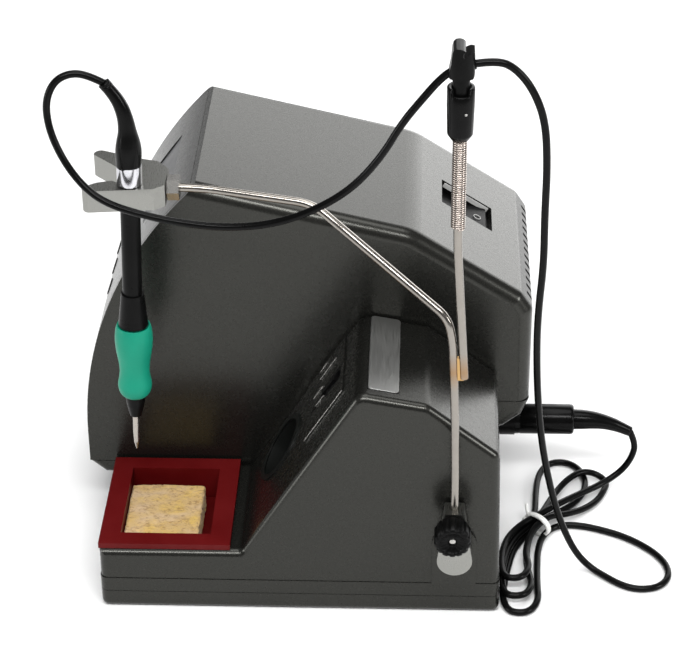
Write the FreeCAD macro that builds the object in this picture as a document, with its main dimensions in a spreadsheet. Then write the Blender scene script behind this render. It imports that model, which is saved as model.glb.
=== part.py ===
import FreeCAD, Part
import math
import os
import re
import Sketcher

# Soldering iron station: a control unit, an iron stand fastened to its right side,
# a bent-rod arm that holds the iron in a fork above the sponge, and the iron's lead.
# Millimetres. +X is the stand's outer side, -Y the front, +Z up.
# The origin is the centre of the stand's flat underside, on the bench.

Vec = FreeCAD.Vector
doc = FreeCAD.newDocument("soldering_iron_station")
sheet = doc.addObject("Spreadsheet::Sheet", "dims")

DIMENSIONS = {
    # general
    "wall": 3.0, "seam_gap": 0.4, "fit_gap": 0.3, "run_gap": 0.05,
    # iron stand
    "stand_length": 230.0, "stand_width": 90.0, "base_height": 11.7, "ledge_height": 40.0,
    "slope_foot": 33.0, "peak_back": 34.0, "peak_height": 147.0, "brow_back": 72.5, "brow_height": 140.0,
    "shoulder_back": 112.0, "shoulder_height": 108.5, "stand_edge_radius": 4.5, "wall_lean": 1.15,
    "band_top": 21.0, "band_proud": 0.4, "base_edge_radius": 6.0, "tip_plate_x": 57.0, "tip_plate_y": 42.0,
    "well_radius": 20.5, "tip_slot_width": 2.6,
    "insert_x": 13.4, "insert_y": 20.4, "insert_hole_radius": 4.6, "insert_groove_width": 5.0, "name_x": 77.0, "name_y": 18.0,
    # sponge tray
    "tray_rim_x": 85.0, "tray_rim_y": 75.5, "rim_thick": 3.5, "pocket_x": 64.0, "pocket_y": 52.0,
    "tray_depth": 20.0, "tray_wall": 2.5, "sponge_x": 55.0, "sponge_y": 44.0,
    "sponge_thick": 16.0,
    # control unit
    "unit_width": 135.5, "unit_front": 131.0, "front_radius": 232.0, "nose_height": 61.0,
    "roof_front": 60.0, "roof_front_height": 228.0, "bend_back": 63.0, "bend_height": 199.0,
    "roof_rear": 126.0, "roof_rear_height": 158.0, "unit_rear": 132.5, "rear_top": 148.0,
    "parting_front": 40.0, "parting_rear": 87.0, "belly_height": 30.5, "unit_edge_radius": 8.0,
    "recess_wall": 104.0, "panel_bottom": 53.0, "panel_thick": 3.0, "rim_width": 2.5,
    "plinth_inset": 15.0, "plinth_half": 98.0, "foot_height": 4.0, "foot_radius": 8.0,
    # front panel controls
    "button_radius": 5.0, "button_spacing": 24.0, "button_angle": 19.0, 
    "display_width": 66.0, "display_height": 30.0, "display_angle": 36.0,
    # power rocker
    "rocker_x": 28.0, "rocker_y": 36.0, "rocker_frame": 2.0, "rocker_depth": 7.0, "rocker_swing": 8.0,
    # vents and inlet
    "vent_count": 13.0, "vent_pitch": 8.6, "vent_width": 3.0, "inlet_width": 28.0, "inlet_height": 20.0,
    "inlet_low": 100.0,
    # clamp and arm
    "rod_radius": 2.3, "rod_offset": 6.5, "rod_back": 88.0, "rod_bottom": 55.5, "bolt_radius": 2.5, "clamp_thick": 11.5, "disc_radius": 9.9,
    "disc_height": 46.5, "neck_half": 5.4, "neck_height": 79.0, "knob_radius": 10.4, "knob_length": 12.5,
    "knob_height": 68.5, "flute_count": 16.0, "screw_radius": 2.0, "pad_half": 12.6, "pad_top": 61.6, "pad_proud": 0.8,
    "arm_height": 251.6, "cable_rod_top": 270.0, "spring_radius": 3.85, "spring_bottom": 257.5,
    "spring_top": 309.0, "sleeve_bottom": 305.0, "sleeve_top": 338.5, "sleeve_radius": 7.1,
    "clip_back": 86.3, "clip_head_radius": 6.9, "clip_head_bottom": 343.5, "clip_head_top": 361.5,
    "clip_channel_radius": 2.6, "clip_channel_height": 349.7,
    "clip_neck_radius": 4.6,
    # holder block
    "block_thick": 12.8, "block_back": 70.0, "nut_across": 12.0, "nut_thick": 6.5,
    # iron
    "iron_x": 7.0, "iron_back": 88.7, "iron_lean": 1.9, "neck_radius": 3.2, "slot_gap": 0.4,
    "tube_radius": 5.45, "collar_radius": 6.8, "collar_height": 11.0, "grip_radius": 10.6,
    # lead and plug
    "lead_radius": 2.0, "plug_x": -80.0, "plug_height": 51.0, "plug_radius": 9.2, "plug_ring_radius": 9.9,
    "hank_high": 12.0,
}


# The lead's route, chosen point by point: boot to clip in two stretches, clip to hank, hank to plug.
LEAD_START = [(7, -98.4, 316.9), (7, -106.5, 321.4), (8, -115.3, 323), (9.7, -123.6, 319.5),
              (11, -128.6, 309.9), (11.6, -129, 302.5)]
LEAD_TO_CLIP = [(11.63, -129.02, 302.2), (12.3, -129.4, 294), (14.3, -126, 285), (17.3, -119, 273), (21, -110.2, 262.4),
                (26, -98.8, 256.3), (31, -83.1, 253.3), (36, -61.6, 250.9), (40, -35.1, 249.9),
                (44, -8.5, 254.9), (47, 15.1, 266.3), (49, 33.3, 280.5), (50, 47.6, 299.2),
                (51, 57.1, 317.6), (51.5, 68.4, 332.9), (51.5, 75, 341.3), (51.5, 81, 346.8),
                (51.5, 87, 349.2), (51.5, 93.6, 350)]
LEAD_TO_HANK = [(51.5, 94.8, 351), (51.2, 101.5, 350), (51, 108.3, 346), (50.5, 117, 334), (49, 125, 317),
                (47, 129, 292), (44, 131, 262), (39, 132, 230), (33, 130.6, 198), (27, 131, 168),
                (20, 133.6, 128), (14, 138, 92), (8.5, 146, 53), (4, 154.5, 26), (2, 162, 10), (5, 170, 3),
                (12, 178, 2.2), (20, 187, 2.2), (24, 197, 2.2), (22, 208, 2.2), (14, 215, 2.2), (3, 216, 2.2),
                (-9, 211, 2.2), (-20, 201, 2.2), (-28, 190, 2.2), (-32, 178, 2.2), (-33, 167, 2.2), (-33, 155, 2.2)]
LEAD_TO_PLUG = [(-80, 197, 42.5), (-80, 201, 34), (-80, 199.6, 24), (-79, 194.5, 13), (-76, 186.5, 6),
                (-70, 177.5, 4.2)]
HANK_OUTLINE = [(-40, 132), (-27, 120.5), (34, 116.2), (50, 130), (46, 137), (0, 143.5), (-26, 152),
                (-38, 166), (-50, 177), (-84, 185), (-104, 166), (-106, 152), (-90, 143)]


def fill_sheet():
    """One row for each driving dimension: its name, and its value under an alias."""
    for row, (name, value) in enumerate(DIMENSIONS.items(), start=1):
        sheet.set("A%d" % row, name)
        sheet.set("B%d" % row, str(value))
        sheet.setAlias("B%d" % row, name)
    doc.recompute()


def expr(text):
    """An expression on the sheet: each dimension's name gets the sheet's name in front."""
    return re.sub(r"[a-z_]{4,}", lambda m: "dims." + m.group(0) if m.group(0) in DIMENSIONS else m.group(0),
                  str(text))


def val(text):
    """The value of an expression on the sheet."""
    result = sheet.evalExpression(expr(text))
    return float(getattr(result, "Value", result))


fill_sheet()
nodes = {}
screws, standoffs = [], []


def keep(label, obj):
    """Name a finished sub-part; its label names its file."""
    obj.Label = label
    nodes[label] = obj
    return obj


def place(obj, x="0", y="0", z="0", axis=(0, 0, 1), angle=0.0):
    """Put an object at three sheet expressions, turned about an axis."""
    obj.Placement = FreeCAD.Placement(Vec(), FreeCAD.Rotation(Vec(*axis), angle))
    for name, text in zip("xyz", (x, y, z)):
        obj.setExpression("Placement.Base." + name, expr(text))
    return obj


def outline(body, role, corners, arcs=None, start="0"):
    """A closed sketch through corners given as expression pairs; arcs maps a side to (radius, bulge)."""
    arcs = arcs or {}
    sketch = body.newObject("Sketcher::SketchObject", body.Name + "_sketch")
    plane = [f for f in body.Origin.OriginFeatures if f.Role == role][0]
    sketch.AttachmentSupport = (plane, [""])
    sketch.MapMode = "FlatFace"
    sketch.setExpression("AttachmentOffset.Base.z", expr(start))
    points = [Vec(val(u), val(v), 0) for u, v in corners]
    count = len(points)
    for i, first in enumerate(points):
        second = points[(i + 1) % count]
        if i in arcs:
            radius, bulge = val(arcs[i][0]), arcs[i][1]
            chord = second - first
            half = chord.Length / 2
            rise = radius - math.sqrt(radius ** 2 - half ** 2)
            side = Vec(-chord.y, chord.x, 0).normalize() * bulge
            middle = (first + second) * 0.5 + side * rise
            sketch.addGeometry(Part.ArcOfCircle(Part.Arc(first, middle, second).toShape().Curve,
                                                *Part.Arc(first, middle, second).toShape().ParameterRange), False)
        else:
            sketch.addGeometry(Part.LineSegment(first, second), False)
    # an arc may be stored the other way round, so its ends are found by distance
    def end_of(i, point):
        return 1 if sketch.getPoint(i, 1).distanceToPoint(point) < 1e-4 else 2
    for i in range(count):
        after = (i + 1) % count
        joint = points[after]
        sketch.addConstraint(Sketcher.Constraint("Coincident", i, end_of(i, joint), after, end_of(after, joint)))
    for i, (u, v) in enumerate(corners):
        corner = end_of(i, points[i])
        for kind, text, value in (("DistanceX", u, points[i].x), ("DistanceY", v, points[i].y)):
            index = sketch.addConstraint(Sketcher.Constraint(kind, -1, 1, i, corner, value))
            sketch.setExpression("Constraints[%d]" % index, expr(text))
    for i, (radius, _) in arcs.items():
        index = sketch.addConstraint(Sketcher.Constraint("Radius", i, val(radius)))
        sketch.setExpression("Constraints[%d]" % index, expr(radius))
    return sketch


def pad(name, role, corners, length, start="0", arcs=None):
    """A body padded from one outline, from start along the plane's normal."""
    body = doc.addObject("PartDesign::Body", name)
    feature = body.newObject("PartDesign::Pad", name + "_pad")
    feature.Profile = outline(body, role, corners, arcs, start)
    feature.setExpression("Length", expr(length))
    doc.recompute()
    return body


def turned(name, corners, arcs=None):
    """A body of revolution about its own Z axis, from corners given as (radius, height)."""
    body = doc.addObject("PartDesign::Body", name)
    feature = body.newObject("PartDesign::Revolution", name + "_turn")
    sketch = outline(body, "XZ_Plane", corners, arcs)
    feature.Profile = sketch
    feature.ReferenceAxis = (sketch, ["V_Axis"])
    feature.Angle = 360
    doc.recompute()
    return body


def round_edges(body, chosen, radius):
    """Fillet the edges of a body that a test picks, all with one radius."""
    base = body.Tip
    names = ["Edge%d" % (i + 1) for i, edge in enumerate(base.Shape.Edges) if chosen(edge)]
    feature = body.newObject("PartDesign::Fillet", body.Name + "_round")
    feature.Base = (base, names)
    feature.setExpression("Radius", expr(radius))
    doc.recompute()
    return body


def box(name, size, corner, axis=(0, 0, 1), angle=0.0):
    """A Part box of three expressions, at a corner given as three expressions."""
    solid = doc.addObject("Part::Box", name)
    for prop, text in zip(("Length", "Width", "Height"), size):
        solid.setExpression(prop, expr(text))
    return place(solid, *corner, axis=axis, angle=angle)


def cylinder(name, radius, height, base, axis=(0, 0, 1), angle=0.0):
    """A Part cylinder; its own axis is Z before it is turned."""
    solid = doc.addObject("Part::Cylinder", name)
    solid.setExpression("Radius", expr(radius))
    solid.setExpression("Height", expr(height))
    return place(solid, *base, axis=axis, angle=angle)


def along_x(name, radius, length, base):
    return cylinder(name, radius, length, base, axis=(0, 1, 0), angle=90)


def along_y(name, radius, length, base):
    return cylinder(name, radius, length, base, axis=(1, 0, 0), angle=-90)


def fuse(name, shapes):
    solid = doc.addObject("Part::MultiFuse", name)
    solid.Shapes = shapes
    solid.Refine = True
    return solid


def cut(name, base, tools):
    """The base less every tool."""
    solid = doc.addObject("Part::Cut", name)
    solid.Base = base
    solid.Tool = tools[0] if len(tools) == 1 else fuse(name + "_tools", tools)
    solid.Refine = True
    return solid


def group(name, shapes):
    """Separate solids of one kind that share a node."""
    solid = doc.addObject("Part::Compound", name)
    solid.Links = shapes
    return solid


def ball_edges(solid, chosen, radius, name):
    """A Part fillet on the picked edges of any object."""
    doc.recompute()
    feature = doc.addObject("Part::Fillet", name)
    feature.Base = solid
    feature.Edges = [(i + 1, radius, radius) for i, edge in enumerate(solid.Shape.Edges) if chosen(edge)]
    return feature


def is_along(edge, axis):
    """True for a straight edge parallel to a direction."""
    if edge.Curve.TypeId != "Part::GeomLine":
        return False
    return abs(abs(edge.tangentAt(edge.FirstParameter).dot(Vec(*axis))) - 1) < 1e-6


def middle(edge):
    return edge.valueAt((edge.FirstParameter + edge.LastParameter) / 2)


def bend_wire(points, share=0.45, limit=1000.0):
    """A path of straight runs joined by tangent arcs, each as large as its two runs, or a limit, allow."""
    points = [Vec(*p) for p in points]
    edges, radii, start = [], [], points[0]
    for before, corner, after in zip(points, points[1:], points[2:]):
        back, ahead = (before - corner), (after - corner)
        reach = min(share * min(back.Length, ahead.Length), limit)
        half_turn = (math.pi - back.getAngle(ahead)) / 2
        back.normalize()
        ahead.normalize()
        first, last = corner + back * reach, corner + ahead * reach
        radius = reach / math.tan(half_turn)
        inward = (back + ahead).normalize() * (radius / math.cos(half_turn) - radius)
        edges.append(Part.LineSegment(start, first).toShape())
        edges.append(Part.Arc(first, corner + inward, last).toShape())
        radii.append(radius)
        start = last
    edges.append(Part.LineSegment(start, points[-1]).toShape())
    return Part.Wire(edges), radii


def tube(name, points, radius, limit=1000.0):
    """A round bar or lead along bend_wire's path; prints its radii, as a bend check."""
    wire, radii = bend_wire(points, limit=limit)
    direction = Vec(*points[1]) - Vec(*points[0])
    profile = Part.Wire(Part.makeCircle(radius, Vec(*points[0]), direction))
    solid = wire.makePipeShell([profile], True, False)
    feature = doc.addObject("Part::Feature", name)
    feature.Shape = solid
    expected = math.pi * radius ** 2 * wire.Length
    print("%s: length %.1f, volume ratio %.4f, bend radii %s"
          % (name, wire.Length, solid.Volume / expected, [round(r, 1) for r in radii]))
    return keep(name, feature)


def lean_to(obj, origin, tilt, shift=("0", "0", "0")):
    """Place an object on a plane tilted about X: shift is counted along the tilted plane's own axes."""
    for name, _ in list(obj.ExpressionEngine):
        if name.lstrip(".").startswith("Placement"):
            obj.setExpression(name, None)
    there = FreeCAD.Placement(Vec(*[val(t) for t in origin]), FreeCAD.Rotation(Vec(1, 0, 0), tilt))
    obj.Placement = there * FreeCAD.Placement(Vec(*[val(t) for t in shift]), FreeCAD.Rotation())
    return obj


def plate(name, size, origin, tilt, depth="0"):
    """A box centred on a tilted plane, its lower face depth above that plane."""
    solid = box(name, size, ("0", "0", "0"))
    return lean_to(solid, origin, tilt, ("-(%s)/2" % size[0], "-(%s)/2" % size[1], depth))


def bar(name, radius, length, origin, tilt, shift):
    """A cylinder standing on a tilted plane."""
    solid = cylinder(name, radius, length, ("0", "0", "0"))
    return lean_to(solid, origin, tilt, shift)


def tilt_between(back_a, height_a, back_b, height_b):
    """The tilt about X of a plane that rises from a to b."""
    return math.degrees(math.atan2(val(height_b) - val(height_a), val(back_b) - val(back_a)))


# ---------------------------------------------------------------- control unit
UNIT_RIGHT = "(-stand_width/2)"
UNIT_LEFT = "(-stand_width/2-unit_width)"
UNIT_MID = "(-stand_width/2-unit_width/2)"
ARC_CENTRE = "(front_radius-unit_front)"
ROOF_TILT = tilt_between("bend_back", "bend_height", "roof_rear", "roof_rear_height")
ROCKER_SPOT = (UNIT_RIGHT + "-73", "(bend_back+roof_rear)/2", "(bend_height+roof_rear_height)/2")
PANEL_X = ("unit_width-2*rim_width-2*seam_gap", UNIT_LEFT + "+rim_width+seam_gap")
BUTTON_TILT = 90 - val("button_angle")
DISPLAY_TILT = 90 - val("display_angle")


def front_point(angle, inset="0", x=UNIT_MID):
    """A point on the curved front, by its angle above the nose."""
    reach = "(front_radius-%s)" % inset
    return (x, "%s-%s*cos(%s*1deg)" % (ARC_CENTRE, reach, angle), "nose_height+%s*sin(%s*1deg)" % (reach, angle))


def front_back(height, inset="0"):
    """How far forward the front's arc lies at a height."""
    return "(%s-sqrt((front_radius-%s)^2-(%s-nose_height)^2))" % (ARC_CENTRE, inset, height)


def button_x(i):
    return UNIT_MID + "+(%d)*button_spacing" % (i - 1)


def main_shell():
    """Roof, side walls and rear wall in one moulding, open to the front panel and below."""
    profile = [("-unit_front", "parting_front"), ("-unit_front", "nose_height"),
               ("-roof_front", "roof_front_height"), ("bend_back", "bend_height"),
               ("roof_rear", "roof_rear_height"), ("unit_rear", "rear_top"), ("unit_rear", "parting_rear"),
               ("recess_wall-4", "parting_rear"), ("60", "parting_front")]
    outer = pad("main_outer", "YZ_Plane", profile, "unit_width", UNIT_LEFT, {1: ("front_radius", 1)})
    bend, rear, top = val("bend_back"), val("roof_rear"), val("parting_rear") + 1
    sides = (val(UNIT_LEFT), val(UNIT_RIGHT))

    def roof_bend(edge):
        return is_along(edge, (1, 0, 0)) and abs(middle(edge).y - bend) < 1

    def rear_bend(edge):
        return is_along(edge, (1, 0, 0)) and middle(edge).y > rear - 1 and middle(edge).z > top

    def side_edge(edge):
        at = middle(edge)
        on_side = min(abs(at.x - side) for side in sides) < 1e-3
        return on_side and at.z > top and at.y > 1 - val("roof_front") and not is_along(edge, (1, 0, 0))

    round_edges(outer, roof_bend, "30")
    round_edges(outer, rear_bend, "6")
    round_edges(outer, side_edge, "unit_edge_radius")
    inner = [("-unit_front-20", "panel_bottom"), ("-unit_front-20", "roof_front_height-wall"),
             ("-roof_front", "roof_front_height-wall"), ("bend_back-1", "bend_height-wall"),
             ("roof_rear-1.5", "roof_rear_height-wall-1"), ("unit_rear-wall", "rear_top-wall"),
             ("unit_rear-wall", "parting_front-20"), ("-unit_front+wall", "parting_front-20"),
             ("-unit_front+wall", "panel_bottom")]
    cavity = pad("main_cavity", "YZ_Plane", inner, "unit_width-2*rim_width", UNIT_LEFT + "+rim_width")
    rocker_hole = plate("rocker_hole", ("rocker_x", "rocker_y", "40"), ROCKER_SPOT, ROOF_TILT, "-30")
    vents = [box("vent_%d" % i, ("vent_width", "12", "14"),
                 (UNIT_MID + "+(%d-(vent_count-1)/2)*vent_pitch-vent_width/2" % i, "unit_rear-8.5", "rear_top-9"))
             for i in range(int(val("vent_count")))]
    inlet_hole = box("inlet_hole", ("inlet_width", "wall+2", "inlet_height"),
                     (UNIT_MID + "-inlet_width/2", "unit_rear-wall-1", "inlet_low"))
    jack_hole = along_y("jack_hole", "4", "wall+2", (UNIT_MID + "-inlet_width-8", "unit_rear-wall-1",
                                                    "inlet_low+inlet_height/2"))
    keep("main_shell", cut("main_shell_cut", outer, [cavity, rocker_hole, inlet_hole, jack_hole] + vents))


def front_panel():
    """The curved front, inset between the shell's side rims, with holes for its controls."""
    low, high = "panel_bottom+seam_gap", "(roof_front_height-wall-seam_gap)"
    face = [("-unit_front", low), ("-unit_front", "nose_height"), (front_back(high), high),
            (front_back(high, "panel_thick") + "+0.6", high), ("-unit_front+panel_thick", "nose_height"),
            ("-unit_front+panel_thick", low)]
    arcs = {1: ("front_radius", 1), 3: ("front_radius-panel_thick", -1)}
    slab = pad("panel_slab", "YZ_Plane", face, PANEL_X[0], PANEL_X[1], arcs)
    window = plate("window_hole", ("display_width", "display_height", "30"), front_point("display_angle"),
                   DISPLAY_TILT, "-15")
    holes = [bar("button_hole_%d" % i, "button_radius+fit_gap", "16", front_point("button_angle", "0", button_x(i)),
                 BUTTON_TILT, ("0", "0", "-8")) for i in range(3)]
    keep("front_panel", cut("front_panel_cut", slab, [window] + holes))


def controls():
    """Display behind its window, three push buttons, and the board that carries them."""
    spot = front_point("display_angle")
    keep("display_window", plate("window", ("display_width-2*fit_gap", "display_height-2*fit_gap", "1.5"), spot,
                                 DISPLAY_TILT, "-2.2"))
    keep("display_module", plate("display", ("display_width-8", "display_height-6", "5"), spot, DISPLAY_TILT, "-7.5"))
    for i in range(3):
        at = front_point("button_angle", "0", button_x(i))
        cap = bar("cap_%d" % i, "button_radius", "4.6", at, BUTTON_TILT, ("0", "0", "-4"))
        skirt = bar("skirt_%d" % i, "button_radius+1.2", "1.5", at, BUTTON_TILT, ("0", "0", "-5.5"))
        keep("button_%s" % ("down", "set", "up")[i], fuse("button_body_%d" % i, [cap, skirt]))
    boards = [plate("button_board", ("unit_width-40", "22", "1.6"), front_point("button_angle"),
                    BUTTON_TILT, "-12"),
              plate("display_board", ("unit_width-40", "40", "1.6"), spot, DISPLAY_TILT, "-12")]
    keep("panel_boards", group("panel_board_group", boards))
    for x in (-1, 1):
        for tilt, angle, reach in ((BUTTON_TILT, "button_angle", "7"), (DISPLAY_TILT, "display_angle", "16")):
            at = front_point(angle, "0", UNIT_MID + "+(%d)*(unit_width/2-24)" % x)
            standoffs.append(bar("post", "2.5", "6", at, tilt, ("0", "-(%s)" % reach, "-10.2")))


def lower_shell():
    """Belly pan with a recessed plinth; its back is cut in for the lead's socket."""
    profile = [("-unit_front", "parting_front-seam_gap"), ("-unit_front+1", "belly_height+7"),
               ("-unit_front+9", "belly_height"), ("recess_wall", "belly_height"),
               ("recess_wall", "62"), ("recess_wall+14", "67.5"), ("unit_rear-4", "76"),
               ("unit_rear", "parting_rear-seam_gap"), ("recess_wall-3.7", "parting_rear-seam_gap"),
               ("60.3", "parting_front-seam_gap")]
    pan = pad("pan", "YZ_Plane", profile, "unit_width", UNIT_LEFT)
    ends = (val(UNIT_LEFT), val(UNIT_RIGHT))

    def belly_side(edge):
        at = middle(edge)
        low = at.z < val("parting_front") - 2 and at.y < val("recess_wall") - 1
        return low and min(abs(at.x - e) for e in ends) < 1e-3 and not is_along(edge, (1, 0, 0))

    def rear_side(edge):
        at = middle(edge)
        return at.y > val("recess_wall") + 1 and at.z > 63 and min(abs(at.x - e) for e in ends) < 1e-3 \
            and at.z < val("parting_rear") - 1

    round_edges(pan, belly_side, "4")
    round_edges(pan, rear_side, "6")
    plinth = box("plinth", ("unit_width-2*plinth_inset", "2*plinth_half", "belly_height-foot_height+1"),
                 (UNIT_LEFT + "+plinth_inset", "-plinth_half", "foot_height"))
    hollow = box("plinth_hollow", ("unit_width-2*plinth_inset-2*wall", "2*plinth_half-2*wall", "40"),
                 (UNIT_LEFT + "+plinth_inset+wall", "-plinth_half+wall", "foot_height+wall"))
    basin = [("-unit_front+wall", "belly_height+wall+4"), ("-unit_front+wall+6", "belly_height+wall"),
             ("recess_wall-wall", "belly_height+wall"), ("recess_wall-wall", "66"), ("recess_wall+12", "71"),
             ("unit_rear-wall-3", "78"), ("unit_rear-wall", "parting_rear+5"), ("-unit_front+wall", "parting_rear+5")]
    scoop = pad("pan_scoop", "YZ_Plane", basin, "unit_width-2*wall", UNIT_LEFT + "+wall")
    hole = along_y("socket_hole", "plug_radius-1", "wall+4", ("plug_x", "recess_wall-wall-2", "plug_height"))
    keep("lower_shell", cut("lower_shell_cut", fuse("pan_and_plinth", [pan, plinth]), [hollow, scoop, hole]))
    feet = [cylinder("foot", "foot_radius", "foot_height", (UNIT_MID + "+(%d)*(unit_width/2-plinth_inset-14)" % x,
                                                            "(%d)*(plinth_half-14)" % y, "0"))
            for x in (-1, 1) for y in (-1, 1)]
    keep("rubber_feet", group("foot_group", feet))


def power_rocker():
    """A recessed rocker switch on the rear slope: frame, paddle and the body below."""
    frame = plate("frame_outer", ("rocker_x-2*fit_gap", "rocker_y-2*fit_gap", "16"), ROCKER_SPOT, ROOF_TILT, "-20")
    mouth = plate("frame_mouth", ("rocker_x-2*rocker_frame", "rocker_y-2*rocker_frame", "9"), ROCKER_SPOT, ROOF_TILT,
                  "-12")
    keep("rocker_housing", cut("rocker_housing_cut", frame, [mouth]))
    paddle = pad("paddle_pad", "YZ_Plane",
                 [("-rocker_y/2+rocker_frame+1", "-3.4"), ("-rocker_y/2+rocker_frame+1", "-6.4"), ("-5", "-10"),
                  ("5", "-10"), ("rocker_y/2-rocker_frame-1", "-6.4"), ("rocker_y/2-rocker_frame-1", "-3.4"),
                  ("0", "-5.2")], "rocker_x-2*rocker_frame-1", "-rocker_x/2+rocker_frame+0.5")
    pin = along_x("rocker_pin", "1.5", "rocker_x-2*rocker_frame-0.3",
                  ("-rocker_x/2+rocker_frame+0.15", "0", "-rocker_depth"))
    paddle = fuse("paddle_and_pin", [paddle, pin])
    lean_to(paddle, ROCKER_SPOT, ROOF_TILT)
    pivot = FreeCAD.Placement(Vec(0, 0, -val("rocker_depth")), FreeCAD.Rotation(Vec(1, 0, 0), val("rocker_swing")))
    back = FreeCAD.Placement(Vec(0, 0, val("rocker_depth")), FreeCAD.Rotation())
    paddle.Placement = paddle.Placement * pivot * back
    keep("power_rocker", paddle)


def rear_fittings():
    """Mains inlet, earth jack and the lead's panel socket."""
    shell = box("inlet_shell", ("inlet_width-2*fit_gap", "18", "inlet_height-2*fit_gap"),
                (UNIT_MID + "-inlet_width/2+fit_gap", "unit_rear-18", "inlet_low+fit_gap"))
    flange = box("inlet_flange", ("inlet_width+10", "2", "inlet_height+6"),
                 (UNIT_MID + "-inlet_width/2-5", "unit_rear", "inlet_low-3"))
    well = box("inlet_well", ("inlet_width-5", "17", "inlet_height-5"),
               (UNIT_MID + "-inlet_width/2+2.5", "unit_rear-14", "inlet_low+2.5"))
    keep("mains_inlet", cut("inlet_cut", fuse("inlet_solid", [shell, flange]), [well]))
    pins = [box("inlet_pin", ("2", "12", "4"), (UNIT_MID + "-1+(%d)*7" % x, "unit_rear-14", "inlet_low+4+%d" % z))
            for x, z in ((-1, 0), (0, 3), (1, 0))]
    keep("inlet_pins", group("inlet_pin_group", pins))
    body = along_y("jack_body", "4-fit_gap", "14", (UNIT_MID + "-inlet_width-8", "unit_rear-12",
                                                    "inlet_low+inlet_height/2"))
    rim = along_y("jack_rim", "6", "1.8", (UNIT_MID + "-inlet_width-8", "unit_rear", "inlet_low+inlet_height/2"))
    bore = along_y("jack_bore", "2.05", "20", (UNIT_MID + "-inlet_width-8", "unit_rear-10", "inlet_low+inlet_height/2"))
    keep("earth_jack", cut("jack_cut", fuse("jack_solid", [body, rim]), [bore]))
    barrel = along_y("socket_barrel", "plug_radius-1-fit_gap", "16", ("plug_x", "recess_wall-14", "plug_height"))
    ring = along_y("socket_flange", "plug_radius+1.6", "3", ("plug_x", "recess_wall", "plug_height"))
    keep("lead_socket", fuse("lead_socket_body", [barrel, ring]))


def unit_inside():
    """Transformer, main board with its parts, heat sink and the screws that hold them."""
    floor = "(foot_height+wall)"
    x0 = UNIT_LEFT + "+plinth_inset+wall"
    core = box("core_block", ("40", "52", "44"), (x0 + "+8", "10", floor + "+2"))
    windows = [box("core_window", ("50", "9", "26"), (x0, "22", floor + "+11")),
               box("core_window", ("50", "9", "26"), (x0, "41", floor + "+11"))]
    foot = box("transformer_foot", ("56", "60", "2"), (x0 + "+0.5", "6", floor))
    keep("transformer_core", fuse("core_and_foot", [cut("core_cut", core, windows), foot]))
    coil_out = box("coil_outer", ("54", "27", "25.4"), (x0 + "+1", "22.5", floor + "+11.3"))
    coil_in = box("coil_slot", ("40.6", "10.6", "60"), (x0 + "+7.7", "30.7", floor + "-10"))
    keep("transformer_coil", cut("coil_cut", coil_out, [coil_in]))
    keep("main_board", box("board", ("90", "84", "1.6"), (x0 + "+4", "-88", floor + "+6")))
    standoffs.extend(cylinder("standoff", "3", "6", (x0 + "+10+(%d)*78" % i, "-82+(%d)*72" % j, floor))
                     for i in (0, 1) for j in (0, 1))
    keep("board_standoffs", group("standoff_group", standoffs))
    heads = [cylinder("board_screw", "2.6", "2", (x0 + "+10+(%d)*78" % i, "-82+(%d)*72" % j, floor + "+7.6"))
             for i in (0, 1) for j in (0, 1)]
    screws.extend(heads)
    base = box("sink_base", ("40", "6", "30"), (x0 + "+16", "-60", floor + "+7.6"))
    fins = [box("sink_fin", ("2", "14", "30"), (x0 + "+16+(%d)*7.6" % i, "-56", floor + "+7.6")) for i in range(6)]
    keep("heat_sink", fuse("sink_body", [base] + fins))
    cans = [cylinder("capacitor", "6", "20", (x0 + "+72", "-70+(%d)*18" % i, floor + "+7.6")) for i in range(3)]
    chips = [box("driver_chip", ("12", "8", "4"), (x0 + "+20+(%d)*18" % i, "-28", floor + "+7.6")) for i in range(3)]
    keep("board_components", group("component_group", cans + chips))
    for x in (-1, 1):
        for y in (-1, 1):
            at = (UNIT_MID + "+(%d)*(unit_width/2-7)" % x, "(%d)*84" % y)
            screws.append(cylinder("case_screw", "3", "2", (at[0], at[1], "belly_height-2")))
    keep("case_screws", group("case_screw_group", screws))


# ---------------------------------------------------------------- iron stand
STAND_LEFT = "(-stand_width/2)"
STAND_RIGHT = "(stand_width/2)"
SLOPE_TILT = tilt_between("-slope_foot", "ledge_height", "peak_back", "peak_height")
BROW_TILT = tilt_between("peak_back", "peak_height", "brow_back", "brow_height")
SHELL_LOW = "(base_height+fit_gap)"


def on_slope(share, x="0"):
    """A point on the stand's front slope, by the share of the way up it."""
    return (x, "-slope_foot+(peak_back+slope_foot)*%s" % share, "ledge_height+(peak_height-ledge_height)*%s" % share)


TIP_SPOT = on_slope("0.70", "-13")
WELL_SPOT = on_slope("0.30", "-16")
TIP_SLOTS = ((-26.4, -2.3, 8), (-17.8, 3.1, 18), (-6, -8.5, 10.5), (6, -9.5, 9))
INSERT_X = "-2.5"
INSERT_Y = "-3"
BROW_SPOT = ("-5", "(peak_back+brow_back)/2-5.5", "(peak_height+brow_height)/2+1")


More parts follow.
